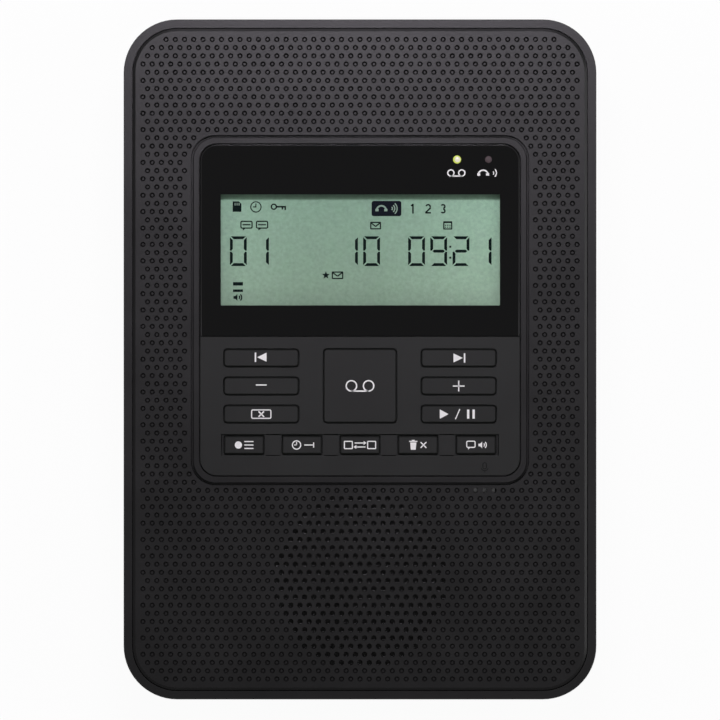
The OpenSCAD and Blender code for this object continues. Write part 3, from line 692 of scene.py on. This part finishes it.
class Skin:
    """Collects vertices and faces of one mesh, in mm, and the material slot of each face."""

    def __init__(self):
        self.points, self.faces, self.slots = [], [], []
        self.slot = 0

    def add(self, x, y, z):
        self.points.append((x, y, z))
        return len(self.points) - 1

    def loop(self, outline, z):
        return [self.add(x, y, z) for x, y in outline]

    def face(self, corners):
        self.faces.append(tuple(corners))
        self.slots.append(self.slot)

    def band(self, outer, inner):
        """Quads between two loops of the same length, seen from above outer to inner."""
        count = len(outer)
        for i in range(count):
            j = (i + 1) % count
            self.face((outer[i], outer[j], inner[j], inner[i]))

    def stack(self, rings):
        """Bands from the lowest ring to the highest, closed at both ends."""
        for lower, upper in zip(rings, rings[1:]):
            self.band(lower, upper)
        self.face(rings[-1])
        self.face(reversed(rings[0]))


def skin_object(name, skin, *materials):
    """Makes an object from a skin, in metres, with one material for each slot."""
    mesh = bpy.data.meshes.new(name)
    mesh.from_pydata([(x * MM, y * MM, z * MM) for x, y, z in skin.points], [], skin.faces)
    for material in materials:
        mesh.materials.append(material)
    mesh.polygons.foreach_set("material_index", skin.slots)
    mesh.validate()
    mesh.update()
    obj = bpy.data.objects.new(name, mesh)
    bpy.context.scene.collection.objects.link(obj)
    print(name, "has", len(mesh.vertices), "vertices")
    return obj


def circle_points(cx, cy, radius, sides=28):
    """Points of a circle, anticlockwise from its right side."""
    turns = [2 * math.pi * side / sides for side in range(sides)]
    return [(cx + radius * math.cos(turn), cy + radius * math.sin(turn)) for turn in turns]


def round_outline(centre, half, radius, points=EDGE_POINTS, spacing=2.54):
    """Points around a rounded rectangle, anticlockwise, with its straights divided."""
    loop = []
    corners = ((1, 1, 0), (-1, 1, 90), (-1, -1, 180), (1, -1, 270))
    for sx, sy, start in corners:
        cx = centre[0] + sx * (half[0] - radius)
        cy = centre[1] + sy * (half[1] - radius)
        for step in range(points + 1):
            angle = math.radians(start + 90 * step / points)
            loop.append((cx + radius * math.cos(angle), cy + radius * math.sin(angle)))
    divided = []
    for (ax, ay), (bx, by) in zip(loop, loop[1:] + loop[:1]):
        cuts = max(1, round(math.hypot(bx - ax, by - ay) / spacing))
        for cut in range(cuts):
            divided.append((ax + (bx - ax) * cut / cuts, ay + (by - ay) * cut / cuts))
    return divided


print("points on a round corner:", EDGE_POINTS + 1)

# %% [markdown]
# ## Bricks, edges and what lies between
# Bricks that would run over the edge of the panel are left out, and so are the strips along
# its edges. There a constrained triangulation fills the space between the outline, the
# opening for the control field, the bricks and the mouths of the holes that have no brick.
# The same triangles close the back, so the result is one solid skin. The walls below a
# mouth's fine bevel are duller than the face, so they take a material slot of their own.

# %% Skin of the face
MOUTH = 0.75
BLIND_STEPS = ((0.74, -0.02), (0.33, -0.45))
OPEN_STEPS = ((0.74, -0.02), (0.68, -0.6))
WALL_SLOT = 1
SLOPE_W, SLOPE_H = 0.7, 0.26
EDGE_CLEARANCE = 0.3
WELD = 1e-5
panel_top_z, panel_back_z = panel_high.z, panel_low.z
FLAT_PANEL = {"centre": (0, 0), "radius": PANEL_RADIUS - SLOPE_W,
              "half": (panel_high.x - SLOPE_W, panel_high.y - SLOPE_W)}


def brick_keys(row, quarter):
    """The twelve shared points of a brick, anticlockwise from its right side."""
    right, left = (quarter + 2, 2 * row), (quarter - 2, 2 * row)
    upper = [(quarter + step, 2 * row - 1) for step in (2, 1, 0, -1, -2)]
    lower = [(quarter + step, 2 * row + 1) for step in (-2, -1, 0, 1, 2)]
    return [right, *upper, left, *lower]


def key_point(key):
    """Place of a shared brick point, in mm."""
    return key[0] * PITCH_X / 4, FIRST_ROW_Y - key[1] * PITCH_Y / 2


def on_slope_foot(x, y):
    """A point of the flat panel's outline, moved out by the width of the sloped edge."""
    half, radius = FLAT_PANEL["half"], FLAT_PANEL["radius"]
    cx = max(radius - half[0], min(half[0] - radius, x))
    cy = max(radius - half[1], min(half[1] - radius, y))
    out = Vector((x - cx, y - cy)).normalized() * SLOPE_W
    return x + out.x, y + out.y


class Face(Skin):
    """The panel. Flat space is noted as points and edges, each with its top and back vertex."""

    def __init__(self):
        super().__init__()
        self.shared = {panel_top_z: {}, panel_back_z: {}}
        self.edge_uses = {}
        self.flat, self.flat_edges, self.flat_ends = [], [], []

    def border(self, keys, z):
        """A brick's points at one height, each made once and shared with its neighbours."""
        made = self.shared[z]
        for key in keys:
            if key not in made:
                made[key] = self.add(*key_point(key), z)
        return [made[key] for key in keys]

    def sink(self, x, y, is_open, mouth, back_mouth):
        """Walls and floor of one hole below its mouth."""
        upper = mouth
        for radius, depth in OPEN_STEPS if is_open else BLIND_STEPS:
            lower = self.loop(circle_points(x, y, radius, RIM_SIDES), panel_top_z + depth)
            self.slot = 0 if upper is mouth else WALL_SLOT
            self.band(upper, lower)
            upper = lower
        if is_open:
            self.band(upper, back_mouth)
        self.slot = 0
        if not is_open:
            self.face(upper)

    def add_brick(self, row, quarter, x, y, is_open):
        """A hole with the brick around it, on top and back."""
        keys = brick_keys(row, quarter)
        for edge in zip(keys, keys[1:] + keys[:1]):
            edge = tuple(sorted(edge))
            self.edge_uses[edge] = self.edge_uses.get(edge, 0) + 1
        border = self.border(keys, panel_top_z)
        mouth = self.loop(circle_points(x, y, MOUTH, RIM_SIDES), panel_top_z)
        self.band(border, mouth)
        back_border, back_mouth = self.border(keys, panel_back_z), []
        if is_open:
            back_mouth = self.loop(circle_points(x, y, OPEN_STEPS[-1][0], RIM_SIDES), panel_back_z)
            self.band(back_mouth, back_border)
        else:
            self.face(reversed(back_border))
        self.sink(x, y, is_open, mouth, back_mouth)

    def limit_flat(self, outline, tops, backs):
        """Notes a closed outline that bounds the flat space."""
        start, count = len(self.flat), len(outline)
        self.flat.extend(outline)
        self.flat_ends.extend(zip(tops, backs))
        self.flat_edges.extend((start + i, start + (i + 1) % count) for i in range(count))

    def add_edges(self):
        """The sloped edge around the panel, and the opening for the control field."""
        rim = round_outline(**FLAT_PANEL)
        foot = [on_slope_foot(x, y) for x, y in rim]
        rim_top = self.loop(rim, panel_top_z)
        rim_low = self.loop(foot, panel_top_z - SLOPE_H)
        rim_back = self.loop(foot, panel_back_z)
        self.band(rim_low, rim_top)
        self.band(rim_back, rim_low)
        self.limit_flat(rim, rim_top, rim_back)
        gate = round_outline(**FIELD)
        gate_top, gate_back = self.loop(gate, panel_top_z), self.loop(gate, panel_back_z)
        self.band(gate_top, gate_back)
        self.limit_flat(gate, gate_top, gate_back)

    def add_loose(self, x, y, is_open):
        """A hole without a brick: its mouth is cut out of the flat space."""
        outline = circle_points(x, y, MOUTH, RIM_SIDES)
        mouth, back_mouth = self.loop(outline, panel_top_z), self.loop(outline, panel_back_z)
        if not is_open:
            self.face(reversed(back_mouth))
        self.sink(x, y, is_open, mouth, back_mouth)
        self.limit_flat(outline, mouth, back_mouth)

    def limit_bricks(self):
        """Notes the brick edges that no second brick shares."""
        noted = {}
        for edge, uses in self.edge_uses.items():
            if uses > 1:
                continue
            for key in edge:
                if key not in noted:
                    noted[key] = len(self.flat)
                    self.flat.append(key_point(key))
                    self.flat_ends.append(tuple(made[key] for made in self.shared.values()))
            self.flat_edges.append(tuple(noted[key] for key in edge))

    def fill_flat(self, is_flat):
        """Triangles, on top and back, wherever is_flat says so of their middle."""
        points, _, triangles, origin, _, _ = geometry.delaunay_2d_cdt(
            [Vector(point) for point in self.flat], self.flat_edges, [], 0, WELD)
        for triangle in triangles:
            x, y = (sum(points[i][axis] for i in triangle) / 3 for axis in (0, 1))
            if is_flat(x, y):
                ends = [self.flat_ends[origin[i][0]] for i in triangle]
                self.face(top_vertex for top_vertex, _ in ends)
                self.face(back_vertex for _, back_vertex in reversed(ends))


print("depth of a dimple in mm:", -BLIND_STEPS[-1][1])

# %% [markdown]
# ## Putting the face together
# Each hole whose brick keeps clear of the edges gets that brick, and the few others along the
# edges are loose. A triangle of the flat space is kept when its middle is neither in a brick
# nor in a mouth. The finished skin takes the place of the exact model's plain panel.

# %% Build the perforated face
NEAR_MOUTH = 0.95 * MOUTH


def has_brick(hole):
    """Whether the brick of a hole lies clear of the panel's edges."""
    corners = [key_point(key) for key in brick_keys(*hole[:2])]
    return all(depth_inside(*corner, **PANEL) > SLOPE_W + EDGE_CLEARANCE
               and depth_inside(*corner, **FIELD) < -EDGE_CLEARANCE for corner in corners)


bricks = [hole for hole in holes if has_brick(hole)]
brick_places = {hole[:2] for hole in bricks}
loose = [hole for hole in holes if hole[:2] not in brick_places]


def is_flat(x, y):
    """Whether a point of the panel is neither in a brick nor in a mouth nor past an edge."""
    row = round((FIRST_ROW_Y - y) / PITCH_Y)
    shift = 2 * (row % 2)
    quarter = 4 * round((x / (PITCH_X / 4) - shift) / 4) + shift
    if depth_inside(x, y, **FLAT_PANEL) < 0 or depth_inside(x, y, **FIELD) > 0:
        return False
    return (row, quarter) not in brick_places and not any(
        abs(y - my) < MOUTH and math.hypot(x - mx, y - my) < NEAR_MOUTH
        for _, _, mx, my, _ in loose)


face = Face()
for hole in bricks:
    face.add_brick(*hole)
face.add_edges()
for hole in loose:
    face.add_loose(*hole[2:])
face.limit_bricks()
face.fill_flat(is_flat)
print("bricks:", len(bricks), "loose holes:", len(loose), "faces:", len(face.faces))

pierced_face = skin_object("pierced_face", face, panel_plastic, wall_plastic)
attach(pierced_face, "case")
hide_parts("grille_panel")

# %% [markdown]
# ## Signs, drawn with a few simple strokes
# The signs on the keys and the window are printed a few hundredths of a millimetre thick. A
# real font would bring words, so each sign is a small drawing from bars, discs, rings and
# polygons. A shape is a list of its loops in mm: one loop for a solid patch, two for a ring.
# A sign is a list of shapes drawn around the origin, and `at` moves it to its place.
# `print_sign` raises the shapes into thin closed solids and puts them on one piece.

# %% Drawing tools
INK_THICKNESS = 0.03
ARC_STEPS = 14


def at(x, y, shapes):
    """Moves shapes that are drawn around the origin."""
    return [[[(x + px, y + py) for px, py in loop] for loop in shape] for shape in shapes]


def laid_out(*places):
    """Joins signs given as (x, y, shapes)."""
    return [shape for x, y, shapes in places for shape in at(x, y, shapes)]


def bar(x0, y0, x1, y1, width):
    """A straight stroke with square ends."""
    along = Vector((x1 - x0, y1 - y0)).normalized() * 0.5
    side = Vector((-along.y, along.x)) * width
    return [[(x0 + side.x, y0 + side.y), (x0 - side.x, y0 - side.y),
             (x1 - side.x, y1 - side.y), (x1 + side.x, y1 + side.y)]]


def patch(*points):
    """A filled polygon."""
    return [list(points)]


def box_patch(cx, cy, width, height):
    """A filled upright rectangle."""
    w, h = width / 2, height / 2
    return patch((cx - w, cy - h), (cx + w, cy - h), (cx + w, cy + h), (cx - w, cy + h))


def ring(cx, cy, radius, width):
    """A circle drawn with a stroke whose outer radius is given."""
    return [circle_points(cx, cy, radius), circle_points(cx, cy, radius - width)]


def arc(cx, cy, radius, width, start, end):
    """Part of a ring, between two angles in degrees."""
    turns = [math.radians(start + (end - start) * step / ARC_STEPS)
             for step in range(ARC_STEPS + 1)]
    outer = [(cx + radius * math.cos(t), cy + radius * math.sin(t)) for t in turns]
    inner = [(cx + (radius - width) * math.cos(t), cy + (radius - width) * math.sin(t))
             for t in reversed(turns)]
    return [outer + inner]


def waves(x, reaches, line, spread=48):
    """Arcs one behind the other that open to the right."""
    return [arc(x, 0, reach, line, spread, -spread) for reach in reaches]


def frame_box(cx, cy, width, height, line, radius=0.3):
    """An upright rectangle drawn with a stroke and round corners."""
    outer = round_outline((cx, cy), (width / 2, height / 2), radius, 5, 99)
    inner = round_outline((cx, cy), (width / 2 - line, height / 2 - line),
                          max(radius - line, 0.05), 5, 99)
    return [outer, inner]


def signed_area(loop):
    """Area of a loop, positive when it runs anticlockwise."""
    return sum(ax * by - bx * ay for (ax, ay), (bx, by) in zip(loop, loop[1:] + loop[:1])) / 2


def print_sign(name, shapes, z, material, body, thickness=INK_THICKNESS):
    """Raises flat shapes into one thin printed piece that lies at height z (metres)."""
    skin = Skin()
    low, high = z / MM, z / MM + thickness
    for shape in shapes:
        loops = [loop if signed_area(loop) > 0 else list(reversed(loop)) for loop in shape]
        tops = [skin.loop(loop, high) for loop in loops]
        lows = [skin.loop(loop, low) for loop in loops]
        skin.band(lows[0], tops[0])
        if len(loops) == 1:
            skin.face(tops[0])
            skin.face(reversed(lows[0]))
        else:
            skin.band(tops[0], tops[1])
            skin.band(lows[1], lows[0])
            skin.band(tops[1], lows[1])
    printed = skin_object(name, skin, material)
    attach(printed, body)


print("thickness of a print in mm:", INK_THICKNESS)

# %% [markdown]
# ## What the display shows
# The cell shows a message channel, the number of messages and the time in seven-segment
# digits, under a row of small signs. A digit's segments are bars with slanted ends and a clear
# gap at each corner. Where the real display has words, generic signs stand in their place.

# %% Seven-segment digits
DIGIT_W, DIGIT_H = 4.65, 8.2
DIGIT_PITCH = 6.1
SEGMENT_W = 0.8
SEGMENT_GAP = 0.26
DIGIT_Y = 29.85
LIT = {"0": "abcdef", "1": "bc", "2": "abdeg", "9": "abcdfg"}


def segment_shapes(cx, cy):
    """The seven segments of one digit, by letter, clockwise from the top; g is the middle."""
    w, h, t, g = DIGIT_W / 2, DIGIT_H / 2, SEGMENT_W, SEGMENT_GAP
    flat = [(-w + g, h), (w - g, h), (w - g - t, h - t), (-w + g + t, h - t)]
    tall = [(w, h - g), (w, g * 0.75), (w - t * 0.5, g * 0.4), (w - t, g + t * 0.5),
            (w - t, h - g - t)]
    middle = [(-w + g + t * 0.4, 0), (-w + g + t, t / 2), (w - g - t, t / 2),
              (w - g - t * 0.4, 0), (w - g - t, -t / 2), (-w + g + t, -t / 2)]

    def placed(points, flip_x=1, flip_y=1):
        return [[(cx + flip_x * x, cy + flip_y * y) for x, y in points]]

    return {"a": placed(flat), "d": placed(flat, 1, -1), "b": placed(tall),
            "c": placed(tall, 1, -1), "f": placed(tall, -1), "e": placed(tall, -1, -1),
            "g": placed(middle)}


def digits(text, first_x):
    """Segments of a row of digits; first_x is the middle of the first one."""
    shapes = []
    for place, figure in enumerate(text):
        segments = segment_shapes(first_x + place * DIGIT_PITCH, DIGIT_Y)
        shapes += [segments[letter] for letter in LIT[figure]]
    return shapes


colon = [box_patch(24.9, y, 0.55, 0.55) for y in (31.07, 28.05)]
for name, shapes in (("time_digits", digits("09", 15.6) + digits("21", 27.85) + colon),
                     ("message_digits", digits("10", -2.9)),
                     ("channel_digits", digits("01", -33.55))):
    print_sign(name, shapes, cell_z, segment_ink, "case")

# %% [markdown]
# ## Small signs of the display
# A card, a clock, a key, a call badge with numbers 1 to 3, two speech bubbles, an envelope, a
# calendar sheet, a new-message mark and the volume bars. The numbers are drawn with the same
# strokes as the rest.

# %% Display signs
FINE = 0.34
BOLD = 0.42
FIGURE_H = 2.65


def figure_two():
    low, r = BOLD / 2 - FIGURE_H / 2, FIGURE_H * 0.29
    return [arc(0, FIGURE_H / 2 - r, r, BOLD, 165, -25),
            bar(r * 0.86, FIGURE_H / 2 - r * 1.42, -r, low, BOLD), bar(-r, low, r, low, BOLD)]


def figure_three():
    r = FIGURE_H * 0.27
    return [arc(0, FIGURE_H / 2 - r, r, BOLD, 150, -85), arc(0, r - FIGURE_H / 2, r, BOLD, 85, -150)]


def clock_sign(r):
    return [ring(0, 0, r, 0.3), bar(0, -0.15, 0, r * 0.62, 0.3), bar(0.15, 0, -r * 0.5, 0, 0.3)]


def envelope_sign(w):
    return [frame_box(0, 0, w, 2.1, FINE, 0.25), bar(0.15 - w / 2, 0.85, 0, -0.252, FINE),
            bar(0, -0.252, w / 2 - 0.15, 0.85, FINE)]


def bubble_sign(w, h, line=FINE):
    return [frame_box(0, 0, w, h, line, 0.5),
            patch((-w * 0.3, 0.02 - h / 2), (-w * 0.08, 0.02 - h / 2), (-w * 0.3, -h / 2 - 0.5))]


def speaker_sign(s, line):
    horn = patch((-1.1 * s, -0.38 * s), (-0.6 * s, -0.38 * s), (0, -0.95 * s), (0, 0.95 * s),
                 (-0.6 * s, 0.38 * s), (-1.1 * s, 0.38 * s))
    return [horn, *waves(0.05, (0.75 * s, 1.3 * s), line)]


figure_one = [bar(0, -FIGURE_H / 2, 0, FIGURE_H / 2, BOLD),
              bar(-0.5, FIGURE_H / 2 - 0.55, 0.06, FIGURE_H / 2 - 0.05, BOLD)]
card = [patch((-1.2, -1.45), (1.2, -1.45), (1.2, 0.75), (0.5, 1.45), (-1.2, 1.45))]
card_contacts = [box_patch(0.55 * n, 0, 0.26, 0.7) for n in range(3)]
door_key = [ring(-1.35, 0, 0.88, 0.38), bar(-0.55, 0, 2.0, 0, 0.44),
            bar(1.0, 0, 1.0, -0.75, 0.42), bar(1.79, 0, 1.79, -0.9, 0.42)]
bubble_line = [bar(-1.1, 0, 1.1, 0, FINE)]
handset = [arc(0, -0.495, 1.575, 0.45, 160, 20), box_patch(-1.215, -0.315, 0.855, 0.675),
           box_patch(1.215, -0.315, 0.855, 0.675)]
star_turns = [math.radians(90 + 36 * tip) for tip in range(10)]
star = [patch(*[(reach * math.cos(turn), reach * math.sin(turn))
                for reach, turn in zip([1.15, 0.483] * 5, star_turns)])]
calendar = [frame_box(0, 0, 2.5, 2.3, FINE, 0.2), box_patch(0, 0.8, 2.3, 0.3),
            *[box_patch(x, y, 0.3, 0.3) for x in (-0.6, 0, 0.6) for y in (0.05, -0.5)]]

display_signs = laid_out(
    (-33.9, 42.15, card), (-28.7, 42.05, clock_sign(1.57)), (-22.4, 42.1, door_key),
    (14.6, 41.55, figure_one), (18.8, 41.55, figure_two()), (22.9, 41.55, figure_three()),
    (-31.3, 37.15, bubble_sign(3.4, 2.2)), (-27.0, 37.15, bubble_sign(3.4, 2.2)),
    (-31.3, 37.15, bubble_line), (-27.0, 37.15, bubble_line),
    (4.3, 36.9, envelope_sign(3.0)), (24.2, 36.95, calendar),
    (-9.4, 23.2, star), (-6.2, 23.2, envelope_sign(3.2)),
    (-33.65, 20.85, [box_patch(0, 0, 2.75, 0.95)]), (-33.65, 18.95, [box_patch(0, 0, 2.75, 0.7)]),
    (-33.8, 17.1, speaker_sign(1.0, 0.36)))
badge_plate = [[round_outline((7.3, 41.6), (4.1, 2.1), 0.6, 5, 99)]]
badge_signs = laid_out((5.9, 41.5, handset), (8.4, 41.6, waves(0, (0.7, 1.35, 2.0), 0.32, 50)),
                       (-34.45, 42.8, card_contacts))
print_sign("display_signs", display_signs, cell_z, segment_ink, "case")
print_sign("badge_plate", badge_plate, cell_z, badge_ink, "case")
print_sign("badge_signs", badge_signs, cell_z + INK_THICKNESS * MM, cell_ink, "case")
print("display shapes:", len(display_signs) + len(badge_plate) + len(badge_signs))

# %% [markdown]
# ## The two lamps and their signs
# Behind round openings in the mask sit two small lenses: one glows yellow-green with a paler
# core, the other is off. Each is a low dome, turned like a bead and standing a hair over the
# window's face, because the window's material is black there.

# %% Lamps
LAMP_Y = 55.0
LAMPS = (("lamp_ready", 26.7, 1.12, 0.0, lamp_edge),
         ("lamp_ready_core", 26.82, 0.78, 0.15, lamp_core),
         ("lamp_busy", 35.35, 0.98, 0.0, lamp_dark))
LENS_PROFILE = ((1, 0.0), (1, 0.03), (0.92, 0.1), (0.7, 0.17), (0.35, 0.21))


def build_lens(name, x, radius, rise, material):
    """A low round lens standing a hair over the window, or on another lens."""
    skin = Skin()
    base = window_z / MM + rise
    rings = [skin.loop(circle_points(x, LAMP_Y, radius * share, 24), base + up)
             for share, up in LENS_PROFILE]
    skin.stack(rings)
    lens = skin_object(name, skin, material)
    lens.data.shade_smooth()
    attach(lens, "case")


def tape_sign(s, line):
    """Two reels joined by a line, the common sign for recorded messages."""
    return [ring(-1.75 * s, 0, 1.2 * s, line), ring(1.75 * s, 0, 1.2 * s, line),
            bar(-1.75 * s, line / 2 - 1.2 * s, 1.75 * s, line / 2 - 1.2 * s, line)]


for lamp in LAMPS:
    build_lens(*lamp)
window_signs = laid_out((26.5, 51.3, tape_sign(0.86, 0.36)), (33.9, 51.2, handset),
                        (36.2, 51.3, waves(0, (0.75, 1.5), 0.3)))
print_sign("window_signs", window_signs, window_z, white_ink, "case")
print("lenses:", len(LAMPS), "window shapes:", len(window_signs))

# %% [markdown]
# ## Signs on the keys
# Each key carries its own sign and moves with it, so every sign is a piece of its own that
# rides on its key's body. The drawings keep the size and place of the real prints.

# %% Key signs
STROKE = 0.38


def key_centre(key):
    """Middle of a key, in mm."""
    low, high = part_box(key)
    return (low.x + high.x) / 2 / MM, (low.y + high.y) / 2 / MM


def skip_sign(side):
    """A triangle that points to a bar, on the side of 1 or -1."""
    return [patch((-1.45 * side, -1.25), (-1.45 * side, 1.25), (1.15 * side, 0)),
            box_patch(1.6 * side, 0, 0.42, 2.6)]


def cross_sign(s, line):
    return [bar(-s, -s, s, s, line), bar(-s, s, s, -s, line)]


waste_bin = [patch((-0.85, 0.7), (-0.68, -1.3), (0.68, -1.3), (0.85, 0.7)),
             box_patch(0, 1.0, 2.3, 0.28), box_patch(0, 1.25, 0.8, 0.3)]
swap_arrows = [shape for turn in (1, -1) for shape in (
    bar(-1.5 * turn, 0.55 * turn, 1.1 * turn, 0.55 * turn, 0.3),
    patch((turn, 1.1 * turn), (turn, 0), (1.8 * turn, 0.55 * turn)))]
KEY_SIGNS = {
    "key_skip_back": at(0, 0.2, skip_sign(-1)),
    "key_skip_forward": skip_sign(1),
    "key_volume_down": [bar(-1.5, 0.3, 1.5, 0.3, 0.34)],
    "key_volume_up": [bar(-1.6, 0, 1.6, 0, 0.34), bar(0, -1.5, 0, 1.5, 0.34)],
    "key_cancel": [*cross_sign(0.75, STROKE), frame_box(0, 0, 5.6, 2.6, 0.3, 0.5)],
    "key_play_pause": [patch((-5.2, 1.3), (-5.2, -1.3), (-2.8, 0)), bar(-0.9, -1.4, 0.3, 1.4, 0.3),
                       box_patch(2.6, 0, 0.65, 2.5), box_patch(4.1, 0, 0.65, 2.5)],
    "key_answer_on": tape_sign(1.35, STROKE),
    "key_register": [[circle_points(-1.55, 0, 1.0)],
                     *[bar(0.1, y, 2.6, y, 0.3) for y in (0.95, 0, -0.95)]],
    "key_timer": [*at(-1.5, 0, clock_sign(1.3)), bar(0.6, 0, 3.2, 0, 0.3),
                  bar(3.2, -0.7, 3.2, 0.7, 0.3)],
    "key_display": [frame_box(-3.2, 0, 2.5, 2.3, 0.3), *swap_arrows,
                    frame_box(3.2, 0, 2.5, 2.3, 0.3)],
    "key_erase": laid_out((-1.3, 0, waste_bin), (1.5, 0, cross_sign(0.8, 0.32))),
    "key_greeting": laid_out((-1.4, 0.2, bubble_sign(2.6, 2.0, 0.3)),
                             (1.7, 0, speaker_sign(0.95, 0.28))),
}
for key in KEYS:
    print_sign("sign_" + key.removeprefix("key_"), at(*key_centre(key), KEY_SIGNS[key]), top(key),
               white_ink, key)
print("key signs:", len(KEYS))

# %% [markdown]
# ## The painted shadow line of the small keys' strip
# The five small keys stand in a shallow strip of the plate. A fine dark line is painted round it
# as shade at the foot of the strip's wall. Between the keys it is a narrow bar on the strip's
# floor against the wall, and at both ends it closes with an upright bar. Near a key the gap
# around the key takes its place.

# %% Painted shadow line of the strip
STRIP_HALF_X, STRIP_LOW_Y, STRIP_HIGH_Y = 38.2, -26.555, -20.505
STRIP_DEPTH = 0.6
SHADOW_LINE_W = 0.22
KEY_HOLE_HALF = 6.0

key_places = sorted(key_centre(key) for key in KEYS)
small_key_xs = [x for x, y in key_places if STRIP_LOW_Y < y < STRIP_HIGH_Y]
# Bars of the painted shadow line: near-black strips standing in for the shade at the foot of the
# strip's wall.
shadow_lines = [box_patch(side * (STRIP_HALF_X - SHADOW_LINE_W / 2), (STRIP_LOW_Y + STRIP_HIGH_Y) / 2,
                   SHADOW_LINE_W, STRIP_HIGH_Y - STRIP_LOW_Y) for side in (-1, 1)]
for left_x, right_x in zip(small_key_xs, small_key_xs[1:]):
    width = right_x - left_x - 2 * KEY_HOLE_HALF
    for y in (STRIP_LOW_Y + SHADOW_LINE_W / 2, STRIP_HIGH_Y - SHADOW_LINE_W / 2):
        shadow_lines.append(box_patch((left_x + right_x) / 2, y, width, SHADOW_LINE_W))
print_sign("strip_shadow_line", shadow_lines, plate_z - STRIP_DEPTH * MM, shadow_line_plastic, "case")
print("seam bars:", len(shadow_lines))

# %% [markdown]
# ## The raised mark at the microphone
# Under the small keys the plate has a faint mark in its own colour: a microphone on its stand.
# It stands out only because it is duller than the plate around it.

# %% Microphone mark
MARK_PLACE = (34.3, -29.4)
MARK_THICKNESS = 0.06
mic_mark = [arc(0, 0.5, 0.6, 0.2, 0, 180), bar(-0.5, 0.55, -0.5, -0.2, 0.2),
            bar(0.5, 0.55, 0.5, -0.2, 0.2), arc(0, -0.2, 0.6, 0.2, 180, 360),
            arc(0, -0.2, 1.1, 0.2, 200, 340), bar(0, -1.2, 0, -1.7, 0.2)]
print_sign("microphone_mark", at(*MARK_PLACE, mic_mark), plate_z, wall_plastic, "case",
           MARK_THICKNESS)
print("strokes in the mark:", len(mic_mark))

# %% [markdown]
# ## Contacts in the sockets
# Through the mouths of the two telephone sockets one sees their sprung gold wires, which rise
# from the floor towards the back. Each is a thin bent rod, swept along four points.

# %% Socket contacts
CONTACT_LANES = 6
CONTACT_PITCH = 1.02
CONTACT_R, CONTACT_SIDES = 0.18, 8
CONTACT_FLOOR = 2.2
CONTACT_PATH = ((1.2, 0.1), (4.0, 0.5), (8.5, 3.0), (12.4, 3.6))


def add_rod(skin, path):
    """A thin rod along points in the YZ plane at one x, closed at both ends."""
    rings = []
    for index, (x, y, z) in enumerate(path):
        before, after = path[max(index - 1, 0)], path[min(index + 1, len(path) - 1)]
        along = Vector((0, after[1] - before[1], after[2] - before[2])).normalized()
        side = Vector((0, -along.z, along.y))
        rings.append([skin.add(x + right, y + side.y * out, z + side.z * out)
                      for right, out in circle_points(0, 0, CONTACT_R, CONTACT_SIDES)])
    skin.stack(rings)


def add_contacts(name, jack):
    """The wires of one socket, behind its face and over its floor."""
    low, high = (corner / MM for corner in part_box(jack))
    middle, front, floor_height = (low.x + high.x) / 2, high.y, low.z + CONTACT_FLOOR
    skin = Skin()
    for lane in range(CONTACT_LANES):
        x = middle + (lane - (CONTACT_LANES - 1) / 2) * CONTACT_PITCH
        add_rod(skin, [(x, front - inward, floor_height + rise) for inward, rise in CONTACT_PATH])
    contacts = skin_object(name, skin, contact_gold)
    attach(contacts, "case")


add_contacts("line_contacts", "line_jack")
add_contacts("phone_contacts", "phone_jack")
print("wires in each socket:", CONTACT_LANES)

# %% [markdown]
